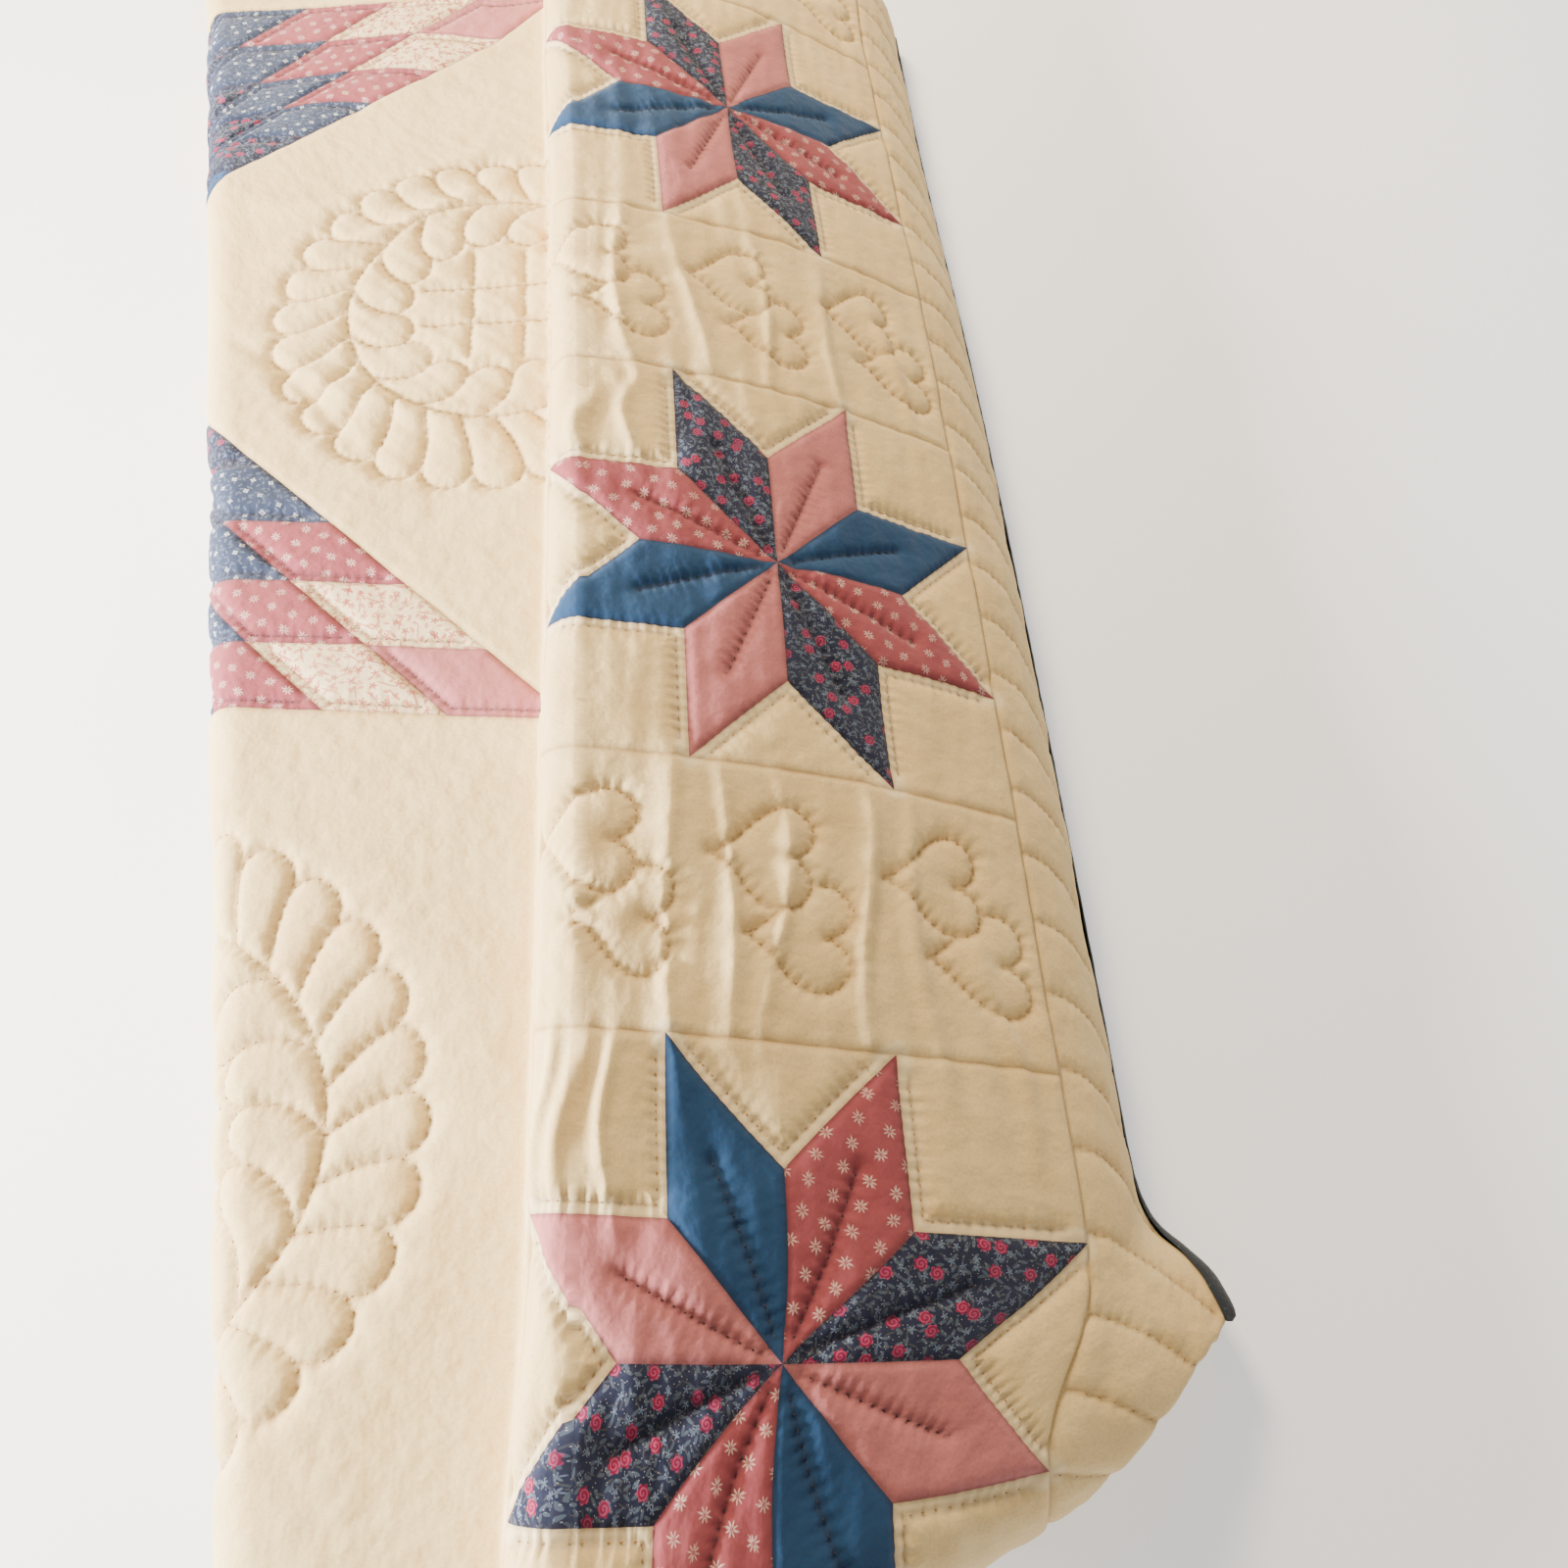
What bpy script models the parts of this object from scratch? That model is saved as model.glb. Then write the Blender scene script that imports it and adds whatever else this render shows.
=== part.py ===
# A patchwork star quilt, folded into a long soft pile that lies on a floor or a bed.
#
# The cloth is folded in two across its length first, so that every layer here is two plies
# with a rounded end at the front and at the back. That double cloth is then folded back and
# forth into a pile. The top layer carries a raised border strip, a step down at the strip's
# left edge, and the sunk field to the left of it. On the right the outer border hangs down
# to the floor, and near the front it flares outward.
#
# Directions: X runs across the folds, to the right. Y runs along them, to the back. Z is up.
# Lengths are in metres. The solids are the quilt itself and the bound edges sewn to it.

import functools

import bmesh
import bpy
import numpy as np
from mathutils import Matrix, Vector

for found in list(bpy.data.objects):
    bpy.data.objects.remove(found, do_unlink=True)

# Overall sizes
LAYER = 0.024            # a layer, which is two plies of quilt
EDGE_LAYER = 0.012       # the same layer where it thins to its bound edge
TAPER = 0.070            # the run over which it thins
STRIP_EDGE_Z = 0.187     # top of the strip at its left edge
FIELD_Z = 0.154          # top of the field
BACK_Y = 0.760           # back end of the top layer, before its rounding
HIDDEN_BACK_STEP = 0.015 # how far the hidden layers stay in from it
GAP = 0.0003             # clear space between neighbouring pieces

# The crowned border strip, from its left edge to the seam with the outer border
STRIP_WIDTH = 0.300
STRIP_SLOPE = 0.133      # slope at the left edge, in radians, downward to the right
STRIP_CURVE = 1.351      # how much steeper it gets, in radians a metre
STRIP_START = 0.030      # where the strip ends and the rounding of its left edge begins
STRIP_POINTS = 12
BORDER_WIDTH = 0.092     # outer border without its binding
BORDER_RADIUS = 0.100    # bend from the strip into the hanging border
HANG_ANGLE = 1.50        # steepest slope of the hanging border
FLARE_ANGLE = 0.50       # slope of the border where it flares outward
HEM_PLACE = STRIP_WIDTH + BORDER_WIDTH
HEM_POINTS = 9

# The step between the strip and the field
STEP_TOP_RADIUS = 0.0140
STEP_FOOT_RADIUS = 0.0160
STEP_LEAN = 0.10         # overhang of the step, in radians past upright
STEP_LIFT = 0.0015       # how far the rounding stands above the strip beside it
STEP_POINTS = 5
STEP_END = -0.036        # place where the step ends and the field begins
FIELD_POINTS = 8

# The nose in which the top layer curves down at its front end
NOSE_RADIUS = 0.045

# The front ends of the hidden layers. They lie further back towards the right.
HIDDEN_FRONT_Y = -0.540
HIDDEN_FRONT_STEP = 0.045
HIDDEN_FRONT_X = 0.050
HIDDEN_FRONT_RUN = 0.240

# Turns of the hidden layers
TURN_STEPS = 6
LEFT_TURN_INSET = 0.028  # from the outer side of the field's left fold to its centre
RIGHT_TURN_INSET = 0.026
INNER_END_PLACES = (0.070, 0.035, 0.000)

# The field's left fold is a straight line in plan
LEFT_FOLD_X = -0.2155
LEFT_FOLD_SLOPE = -0.173

# Binding, with its shape as shares of its own width and of half the layer
BINDING_WIDTH = 0.010
BINDING_SHOULDER = 0.80
BINDING_LOW = 0.35
BINDING_HIGH = 0.70

# The rounded front and back ends of each layer: angles from its upper side, in degrees, and
# how far they are drawn in
END_ANGLES = (50.0, 76.0, 104.0, 130.0)
END_INSET = 0.35

# Samples over which the strip's slope is summed up
SLOPE_SAMPLES = 389

# Rows along the folds: how many on the long run and how many at the front end
LONG_ROWS = 20
FRONT_ROWS = 14
FRONT_SHARE = 0.26

# Soft unevenness of the top layer, and the drop over which the nose smooths it out
RELIEF = 0.0011
FINE_RELIEF = 0.0009
RELIEF_FADE = 0.020

# Looks
CREAM = (0.82, 0.74, 0.58)
DARK_BINDING = (0.03, 0.04, 0.05)
SHARP_ANGLE = 0.9

# Left edge of the strip, as Y and X. It isn't quite straight.
STRIP_EDGE = (
    ("y", "x"),
    (-0.640, 0.008),
    (-0.520, 0.010),
    (-0.450, 0.013),
    (-0.325, 0.013),
    (-0.116, 0.010),
    (0.039, 0.007),
    (0.315, -0.002),
    (0.557, -0.015),
    (0.800, -0.022),
)

# How far the border's slope has gone from hanging to flaring, along Y
FLARE = (
    ("y", "share"),
    (-0.640, 1.00),
    (-0.450, 1.00),
    (-0.415, 0.80),
    (-0.385, 0.35),
    (-0.350, 0.08),
    (-0.300, 0.00),
    (0.800, 0.00),
)

# Where the nose begins and where the cloth ends at the front, across the top layer.
# The place is the distance from the strip's left edge, negative on the field.
NOSE = (
    ("place", "bend_y", "end_y"),
    (-0.205, -0.545, -0.546),
    (-0.185, -0.545, -0.548),
    (-0.120, -0.545, -0.580),
    (-0.060, -0.542, -0.615),
    (0.000, -0.540, -0.625),
    (0.120, -0.533, -0.620),
    (0.200, -0.510, -0.602),
    (0.260, -0.490, -0.564),
    (0.300, -0.477, -0.522),
    (0.340, -0.466, -0.486),
    (0.392, -0.458, -0.442),
    (0.420, -0.458, -0.425),
)

# The hidden layers, from the one under the field down to the one on the floor.
# Each is a flat run whose middle is at height z0 plus slope times X.
# The turn at its end joins it to the next. "fold" is the outer side of that turn: its X for
# a right turn, and for a left turn its distance in from the field's own left fold.
LAYERS = (
    ("z0", "slope", "turn", "fold"),
    (0.1012, -0.036, "right", 0.212),
    (0.0704, -0.028, "left", 0.006),
    (0.0408, -0.010, "right", 0.286),
    (0.0120, 0.000, "end", 0.030),
)


def column(table, name):
    """One named column of a table, as numbers."""
    place = table[0].index(name)
    return np.array([row[place] for row in table[1:]], dtype=float)


def smooth_lookup(table, key, name, at):
    """Value of a column at a place, eased between the rows."""
    known = column(table, key)
    values = column(table, name)
    slopes = np.gradient(values, known)
    at = np.clip(at, known[0], known[-1])
    slot = np.clip(np.searchsorted(known, at) - 1, 0, len(known) - 2)
    width = known[slot + 1] - known[slot]
    share = (at - known[slot]) / width
    low = (1 + 2 * share) * (1 - share) ** 2 * values[slot]
    low = low + share * (1 - share) ** 2 * width * slopes[slot]
    high = share ** 2 * (3 - 2 * share) * values[slot + 1]
    high = high + share ** 2 * (share - 1) * width * slopes[slot + 1]
    return low + high


def arc(centre_x, centre_z, radius, start, stop, steps):
    """Points on an arc, without its first. Angles are from +X towards +Z."""
    angles = np.linspace(start, stop, steps + 1)[1:]
    return [(centre_x + radius * np.cos(a), centre_z + radius * np.sin(a)) for a in angles]


def layer_thickness(from_edge):
    """The layer's thickness at a distance from a bound edge."""
    share = np.clip(np.asarray(from_edge, dtype=float) / TAPER, 0.0, 1.0)
    return EDGE_LAYER + (LAYER - EDGE_LAYER) * share * share * (3 - 2 * share)


def strip_and_border(y, edge_x):
    """Middle line of the strip and the hanging border at one Y, from the hem to the left."""
    fine = np.linspace(0.0, HEM_PLACE, SLOPE_SAMPLES)
    seam_slope = STRIP_SLOPE + STRIP_CURVE * STRIP_WIDTH
    flare = smooth_lookup(FLARE, "y", "share", y)
    last_slope = HANG_ANGLE + (FLARE_ANGLE - HANG_ANGLE) * flare
    bend = np.maximum(0.0, fine - STRIP_WIDTH) / BORDER_RADIUS
    slope = np.where(
        fine > STRIP_WIDTH,
        np.clip(seam_slope + bend * np.sign(last_slope - seam_slope),
                min(seam_slope, last_slope), max(seam_slope, last_slope)),
        STRIP_SLOPE + STRIP_CURVE * fine,
    )
    steps = np.diff(fine)
    halfway = 0.5 * (slope[1:] + slope[:-1])
    x = np.concatenate([[0.0], np.cumsum(np.cos(halfway) * steps)])
    z = STRIP_EDGE_Z - np.concatenate([[0.0], np.cumsum(np.sin(halfway) * steps)])
    places = np.concatenate([
        np.linspace(HEM_PLACE, STRIP_WIDTH, HEM_POINTS),
        np.linspace(STRIP_WIDTH, STRIP_START, STRIP_POINTS)[1:],
    ])
    half = layer_thickness(HEM_PLACE - places) / 2
    slope_here = np.interp(places, fine, slope)
    mid_x = edge_x + np.interp(places, fine, x) - np.sin(slope_here) * half
    mid_z = np.interp(places, fine, z) - np.cos(slope_here) * half
    return list(zip(mid_x, mid_z)), list(places)


def step_down(edge_x, top_z):
    """Over the strip's left edge, down with a slight lean, and out onto the field."""
    centre_x = edge_x + STEP_TOP_RADIUS + LAYER / 2
    centre_z = top_z - STEP_TOP_RADIUS + STEP_LIFT
    points = arc(centre_x, centre_z, STEP_TOP_RADIUS, np.pi / 2, np.pi + STEP_LEAN, STEP_POINTS)
    foot_x = centre_x - STEP_TOP_RADIUS - STEP_FOOT_RADIUS
    foot_z = FIELD_Z - LAYER / 2 + STEP_FOOT_RADIUS
    points += arc(foot_x, foot_z, STEP_FOOT_RADIUS, STEP_LEAN, -np.pi / 2, STEP_POINTS)
    places = list(np.linspace(STRIP_START, STEP_END, 2 * STEP_POINTS + 1)[1:])
    return points, places


def section(y):
    """Middle line of the whole folded cloth at one Y, from the hem to the inner end.

    Returns the points as X and Z, and each one's place across the top layer, which is None
    for the hidden layers.
    """
    edge_x = smooth_lookup(STRIP_EDGE, "y", "x", y)
    points, places = strip_and_border(y, edge_x)
    step_points, step_places = step_down(edge_x, points[-1][1])
    points += step_points
    places += step_places

    # The field, out to its left fold
    fold_x = LEFT_FOLD_X + LEFT_FOLD_SLOPE * y
    level_z = FIELD_Z - LAYER / 2
    level_x = fold_x + LEFT_TURN_INSET
    for x in np.linspace(points[-1][0], level_x, FIELD_POINTS + 1)[1:]:
        points.append((x, level_z))
        places.append(x - edge_x)

    # The hidden layers. Each starts with the turn down from the layer above it.
    side = 1
    for z0, slope, turn, fold in LAYERS[1:]:
        next_z = z0 + slope * level_x
        radius = 0.5 * (level_z - next_z)
        centre_z = 0.5 * (level_z + next_z)
        stop = np.pi / 2 + side * np.pi
        points += arc(level_x, centre_z, radius, np.pi / 2, stop, TURN_STEPS)
        if turn == "right":
            run_ends = [fold - RIGHT_TURN_INSET]
        elif turn == "left":
            run_ends = [fold_x + fold + LEFT_TURN_INSET]
        else:
            run_ends = [fold_x + fold + back for back in INNER_END_PLACES]
        points += [(x, z0 + slope * x) for x in run_ends]
        places += [None] * (TURN_STEPS + len(run_ends))
        level_x = run_ends[-1]
        level_z = z0 + slope * level_x
        side = -side
    return points, places


def row_shares():
    """Where the rows lie along the cloth, from 0 at the back to 1 at the front."""
    long_part = np.linspace(0.0, 1.0 - FRONT_SHARE, LONG_ROWS + 1)
    front_part = np.linspace(1.0 - FRONT_SHARE, 1.0, FRONT_ROWS + 1)[1:]
    return np.concatenate([long_part, front_part])


def relief(x, y):
    """Height of the soft unevenness of the top layer."""
    broad = np.sin(23.0 * x + 9.0 * y) * np.sin(17.0 * y - 6.0 * x)
    fine = np.sin(41.0 * x - 13.0 * y + 1.1) * np.cos(29.0 * y)
    return RELIEF * broad + FINE_RELIEF * fine


def nose(along, bend):
    """Where the top layer goes past its bend at the front: its Y and how far it drops."""
    turned = max(0.0, bend - along) / NOSE_RADIUS
    if turned < np.pi / 2:
        drop = NOSE_RADIUS * (1 - np.cos(turned))
        return max(along, bend) - NOSE_RADIUS * np.sin(turned), drop
    return bend - NOSE_RADIUS, NOSE_RADIUS * (1 + turned - np.pi / 2)


def middle_sheet():
    """The middle surface of the cloth as a grid of points.

    Returns the grid, the thickness of each column, the directions across and along the
    folds at each point, and the normal, which is up on the strip.
    """
    shares = row_shares()
    first, places = section(0.0)
    columns = len(places)
    grid = np.zeros((columns, len(shares), 3))
    for i, place in enumerate(places):
        if place is None:
            inward = np.clip((first[i][0] - HIDDEN_FRONT_X) / HIDDEN_FRONT_RUN, 0.0, 1.0)
            front = HIDDEN_FRONT_Y + HIDDEN_FRONT_STEP * inward
            bend = front
            back = BACK_Y - HIDDEN_BACK_STEP
        else:
            front = smooth_lookup(NOSE, "place", "end_y", place)
            bend = smooth_lookup(NOSE, "place", "bend_y", place)
            back = BACK_Y
        for j, share in enumerate(shares):
            y, drop = nose(back + (front - back) * share, bend)
            x, z = section_points(round(float(y), 5))[i]
            if place is not None and place < STRIP_WIDTH:
                z = z + relief(x, y) * np.clip(1.0 - drop / RELIEF_FADE, 0.0, 1.0)
            grid[i, j] = (x, y, z - drop)
    thick = np.full(columns, LAYER)
    for i in range(HEM_POINTS):
        thick[i] = layer_thickness(HEM_PLACE - places[i])
    for place_in, i in zip(INNER_END_PLACES, range(columns - len(INNER_END_PLACES), columns)):
        thick[i] = layer_thickness(place_in)
    across = unit(np.gradient(grid, axis=0))
    along = unit(np.gradient(grid, axis=1))
    normal = unit(np.cross(across, along))
    if normal[HEM_POINTS, LONG_ROWS // 2, 2] < 0:
        normal = -normal
    return grid, thick, across, along, normal


@functools.cache
def section_points(y):
    """Section points at one Y, kept because neighbouring columns ask for the same ones."""
    return section(y)[0]


def unit(vectors):
    """Vectors of length one."""
    return vectors / np.linalg.norm(vectors, axis=-1, keepdims=True)


def cloth_material(name, colour):
    """A plain woven cotton."""
    material = bpy.data.materials.new(name)
    material.use_nodes = True
    shader = material.node_tree.nodes["Principled BSDF"]
    shader.inputs["Base Color"].default_value = (*colour, 1.0)
    shader.inputs["Roughness"].default_value = 0.9
    shader.inputs["Metallic"].default_value = 0.0
    return material


def loft(name, loops, material):
    """A closed solid through a row of loops, capped at both ends.

    Every loop has the same number of points, and point k faces point n-1-k across the ply.
    A cap has a middle line between the two sides. Each quad is split along the same diagonal
    everywhere, so that two pieces that meet along a twisted edge keep an even gap.
    """
    shape = bmesh.new()
    rings = [[shape.verts.new(tuple(point)) for point in loop] for loop in loops]
    count = len(rings[0])
    for ring, following in zip(rings, rings[1:]):
        for k in range(count):
            n = (k + 1) % count
            shape.faces.new((ring[k], ring[n], following[n]))
            shape.faces.new((ring[k], following[n], following[k]))
    for ring in (rings[0], rings[-1]):
        half = count // 2
        sides = [(ring[k], ring[count - 1 - k]) for k in range(half)]
        middle = [shape.verts.new((a.co + b.co) / 2) for a, b in sides]
        for k in range(half - 1):
            for side in (0, 1):
                shape.faces.new((sides[k][side], sides[k + 1][side], middle[k + 1]))
                shape.faces.new((sides[k][side], middle[k + 1], middle[k]))
        for k in (0, half - 1):
            shape.faces.new((sides[k][0], sides[k][1], middle[k]))
    bmesh.ops.recalc_face_normals(shape, faces=shape.faces)
    mesh = bpy.data.meshes.new(name)
    shape.to_mesh(mesh)
    shape.free()
    mesh.materials.append(material)
    mesh.shade_smooth()
    mesh.set_sharp_from_angle(angle=SHARP_ANGLE)
    piece = bpy.data.objects.new(name, mesh)
    PARTS.objects.link(piece)
    return piece


def round_end(edge, outward, normal, half):
    """The rounded end between two plies, from the upper side to the lower one."""
    points = []
    for angle in END_ANGLES:
        turn = np.radians(angle)
        reach = outward * half * np.sin(turn) + normal * half * np.cos(turn)
        points.append(edge + reach - outward * half * END_INSET)
    return points


def quilt():
    """The folded quilt as one solid."""
    grid, thick, across, along, normal = SHEET
    loops = []
    for i in range(grid.shape[0]):
        half = thick[i] / 2
        upper = [grid[i, j] + normal[i, j] * half for j in range(grid.shape[1])]
        lower = [grid[i, j] - normal[i, j] * half for j in range(grid.shape[1])]
        front = round_end(grid[i, -1], along[i, -1], normal[i, -1], half)
        back = round_end(grid[i, 0], -along[i, 0], normal[i, 0], half)
        upper_half = [back[1], back[0]] + upper + [front[0], front[1]]
        lower_half = [front[2], front[3]] + lower[::-1] + [back[3], back[2]]
        loops.append(upper_half + lower_half)
    return loft("quilt", loops, cloth_material("quilt_cotton", CREAM))


def binding(name, column_index, sign, side):
    """One ply's binding, sewn along the outer hem or along the inner end.

    sign says which way the cloth ends, and side is 1 for the upper ply and -1 for the lower.
    """
    grid, thick, across, along, normal = SHEET
    half = thick[column_index] / 2
    profile = (
        (0.0, GAP),
        (BINDING_WIDTH * BINDING_SHOULDER, GAP),
        (BINDING_WIDTH, half * BINDING_LOW),
        (BINDING_WIDTH, half * BINDING_HIGH),
        (BINDING_WIDTH * BINDING_SHOULDER, half),
        (0.0, half),
    )
    loops = []
    for j in range(grid.shape[1]):
        lengthwise = along[column_index, j]
        outward = across[column_index, j] * sign
        outward = unit(outward - lengthwise * np.dot(outward, lengthwise))
        up = normal[column_index, j] * side
        base = grid[column_index, j] + outward * GAP
        loops.append([base + outward * out + up * high for out, high in profile])
    return loft(name, loops, cloth_material(name + "_cotton", DARK_BINDING))


def centre_on_origin(pieces):
    """Put the middle of the plan box over the origin and the lowest point on the floor."""
    corners = np.concatenate([[vertex.co[:] for vertex in piece.data.vertices] for piece in pieces])
    low = corners.min(axis=0)
    high = corners.max(axis=0)
    shift = Vector((-(low[0] + high[0]) / 2, -(low[1] + high[1]) / 2, -low[2]))
    for piece in pieces:
        piece.data.transform(Matrix.Translation(shift))
    print("moved by", [round(part, 5) for part in shift], "size", (high - low).round(4))


PARTS = bpy.data.collections.new("folded_star_quilt")
bpy.context.scene.collection.children.link(PARTS)
SHEET = middle_sheet()
LAST = SHEET[0].shape[0] - 1
pieces = [
    quilt(),
    binding("hem_binding_upper", 0, -1, 1),
    binding("hem_binding_lower", 0, -1, -1),
    binding("end_binding_upper", LAST, 1, -1),
    binding("end_binding_lower", LAST, 1, 1),
]
centre_on_origin(pieces)
for piece in pieces:
    print(piece.name, len(piece.data.polygons), "triangles")
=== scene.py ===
# %% [markdown]
# # A folded patchwork star quilt
#
# The real thing is a hand quilted bed cover: a cotton top pieced from many small patches, a
# thin batting and a backing, held together by running stitches. It has been folded into a
# pile. The top layer shows a strip of star blocks on the right and a sunk field on the left,
# with two points of one large star and feather wreaths quilted round them.
#
# The pieces are drawn flat first, as a quilter cuts them, and are then laid on the folds.

# %% Load the frame
import math

import bmesh
import bpy
import numpy as np
from mathutils import Matrix, Vector, kdtree, noise


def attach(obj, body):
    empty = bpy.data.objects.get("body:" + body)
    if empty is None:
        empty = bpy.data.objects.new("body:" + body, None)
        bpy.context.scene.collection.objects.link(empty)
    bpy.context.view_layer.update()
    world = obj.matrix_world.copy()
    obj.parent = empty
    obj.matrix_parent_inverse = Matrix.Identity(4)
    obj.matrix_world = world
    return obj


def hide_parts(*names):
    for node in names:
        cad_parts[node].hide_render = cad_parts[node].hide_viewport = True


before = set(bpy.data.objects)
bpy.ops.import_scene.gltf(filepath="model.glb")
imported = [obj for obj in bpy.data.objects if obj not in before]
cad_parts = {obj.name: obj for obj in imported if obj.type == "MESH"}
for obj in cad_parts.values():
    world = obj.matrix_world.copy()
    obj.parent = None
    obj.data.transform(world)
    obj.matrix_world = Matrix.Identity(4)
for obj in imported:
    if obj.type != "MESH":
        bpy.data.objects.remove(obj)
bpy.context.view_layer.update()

# %% [markdown]
# ## The shape that the cloth lies on
#
# Two numbers name any place on the top layer: its place across, measured over the cloth from
# the strip's left edge, and its place along. The strip is a shallow crown, so its slope grows
# steadily to the right. The border beside it bends down to the floor. To the left of the
# strip the cloth rolls down a step and runs flat over the field to the left fold.
#
# These are the solids' own sizes, because the solids and the cloth must agree.

# %% Sizes of the folds
LAYER = 0.024
EDGE_LAYER = 0.012
TAPER = 0.070
STRIP_EDGE_Z = 0.187
FIELD_Z = 0.154
BACK_Y = 0.760
STRIP_WIDTH = 0.300
STRIP_SLOPE = 0.133
STRIP_CURVE = 1.351
STRIP_START = 0.030
BORDER_WIDTH = 0.092
BORDER_RADIUS = 0.100
HANG_ANGLE = 1.50
FLARE_ANGLE = 0.50
HEM_PLACE = STRIP_WIDTH + BORDER_WIDTH
STEP_TOP_RADIUS = 0.0140 + LAYER / 2
STEP_FOOT_RADIUS = 0.0160 - LAYER / 2
STEP_LEAN = 0.10
STEP_TURN = math.pi / 2 + STEP_LEAN
NOSE_RADIUS = 0.045
LEFT_FOLD_X = -0.2155
LEFT_FOLD_SLOPE = -0.173
LEFT_TURN_INSET = 0.028
RIGHT_TURN_INSET = 0.026

# The solids' box was put over the origin, so the same move is made here
TO_ORIGIN = np.array([-0.01924, -0.08462, 0.0])

STRIP_EDGE = (
    ("y", "x"),
    (-0.640, 0.008),
    (-0.520, 0.010),
    (-0.450, 0.013),
    (-0.325, 0.013),
    (-0.116, 0.010),
    (0.039, 0.007),
    (0.315, -0.002),
    (0.557, -0.015),
    (0.800, -0.022),
)
FLARE = (
    ("y", "share"),
    (-0.640, 1.00),
    (-0.450, 1.00),
    (-0.415, 0.80),
    (-0.385, 0.35),
    (-0.350, 0.08),
    (-0.300, 0.00),
    (0.800, 0.00),
)
NOSE = (
    ("place", "bend_y", "end_y"),
    (-0.205, -0.545, -0.546),
    (-0.185, -0.545, -0.548),
    (-0.120, -0.545, -0.580),
    (-0.060, -0.542, -0.615),
    (0.000, -0.540, -0.625),
    (0.120, -0.533, -0.620),
    (0.200, -0.510, -0.602),
    (0.260, -0.490, -0.564),
    (0.300, -0.477, -0.522),
    (0.340, -0.466, -0.486),
    (0.392, -0.458, -0.442),
    (0.420, -0.458, -0.425),
)
LAYERS = (
    ("z0", "slope", "turn", "fold"),
    (0.1012, -0.036, "right", 0.212),
    (0.0704, -0.028, "left", 0.006),
    (0.0408, -0.010, "right", 0.286),
    (0.0120, 0.000, "end", 0.030),
)


def smooth_lookup(table, key, name, at):
    """Values of a named column at places of another, eased between the rows."""
    known = np.array([row[table[0].index(key)] for row in table[1:]])
    values = np.array([row[table[0].index(name)] for row in table[1:]])
    slopes = np.gradient(values, known)
    at = np.clip(at, known[0], known[-1])
    slot = np.clip(np.searchsorted(known, at) - 1, 0, len(known) - 2)
    width = known[slot + 1] - known[slot]
    share = (at - known[slot]) / width
    low = (1 + 2 * share) * (1 - share) ** 2 * values[slot]
    low = low + share * (1 - share) ** 2 * width * slopes[slot]
    high = share ** 2 * (3 - 2 * share) * values[slot + 1]
    high = high + share ** 2 * (share - 1) * width * slopes[slot + 1]
    return low + high


def layer_thickness(from_edge):
    """The layer's thickness at a distance from a bound edge."""
    share = np.clip(from_edge / TAPER, 0.0, 1.0)
    return EDGE_LAYER + (LAYER - EDGE_LAYER) * share * share * (3 - 2 * share)


# %% [markdown]
# ## From flat to folded
#
# `lay` takes flat places and gives points on the cloth's upper face, with the way that face
# looks. The strip's section is worked out once for a few amounts of flare at the front
# corner, and is blended between them.

# %% The strip's section and the map from flat to folded
SECTION_PLACES = np.linspace(0.0, HEM_PLACE + 0.012, 405)
FLARE_SHARES = np.linspace(0.0, 1.0, 21)


def strip_section(share):
    """X and Z over the strip and the border, for one amount of flare."""
    seam_slope = STRIP_SLOPE + STRIP_CURVE * STRIP_WIDTH
    last_slope = HANG_ANGLE + (FLARE_ANGLE - HANG_ANGLE) * share
    bend = np.maximum(0.0, SECTION_PLACES - STRIP_WIDTH) / BORDER_RADIUS
    bent = seam_slope + bend * np.sign(last_slope - seam_slope)
    bent = np.clip(bent, min(seam_slope, last_slope), max(seam_slope, last_slope))
    slope = np.where(SECTION_PLACES > STRIP_WIDTH, bent, STRIP_SLOPE + STRIP_CURVE * SECTION_PLACES)
    steps = np.diff(SECTION_PLACES)
    halfway = 0.5 * (slope[1:] + slope[:-1])
    x = np.concatenate([[0.0], np.cumsum(np.cos(halfway) * steps)])
    z = STRIP_EDGE_Z - np.concatenate([[0.0], np.cumsum(np.sin(halfway) * steps)])
    return x, z


SECTIONS = np.array([strip_section(share) for share in FLARE_SHARES])


def over_strip(place, y):
    """X, from the strip's edge, and Z on the strip and border."""
    share = smooth_lookup(FLARE, "y", "share", y) * (len(FLARE_SHARES) - 1)
    slot = np.clip(share.astype(int), 0, len(FLARE_SHARES) - 2)
    blend = np.clip(share - slot, 0.0, 1.0)
    at = np.clip(place / SECTION_PLACES[-1], 0.0, 1.0) * (len(SECTION_PLACES) - 1)
    cell = np.clip(at.astype(int), 0, len(SECTION_PLACES) - 2)
    rest = at - cell
    result = []
    for axis in (0, 1):
        low = SECTIONS[slot, axis, cell] * (1 - rest) + SECTIONS[slot, axis, cell + 1] * rest
        high = SECTIONS[slot + 1, axis, cell] * (1 - rest) + SECTIONS[slot + 1, axis, cell + 1] * rest
        result.append(low * (1 - blend) + high * blend)
    return result[0], result[1]


STEP_CENTRE_X = STEP_TOP_RADIUS
STEP_CENTRE_Z = float(np.interp(STRIP_START, SECTION_PLACES, SECTIONS[0, 1])) - STEP_TOP_RADIUS + 0.0015
STEP_ARC_END = STRIP_START - STEP_TOP_RADIUS * STEP_TURN
FIELD_START = STEP_ARC_END - STEP_FOOT_RADIUS * STEP_TURN
FOOT_X = STEP_CENTRE_X - STEP_TOP_RADIUS - STEP_FOOT_RADIUS


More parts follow.
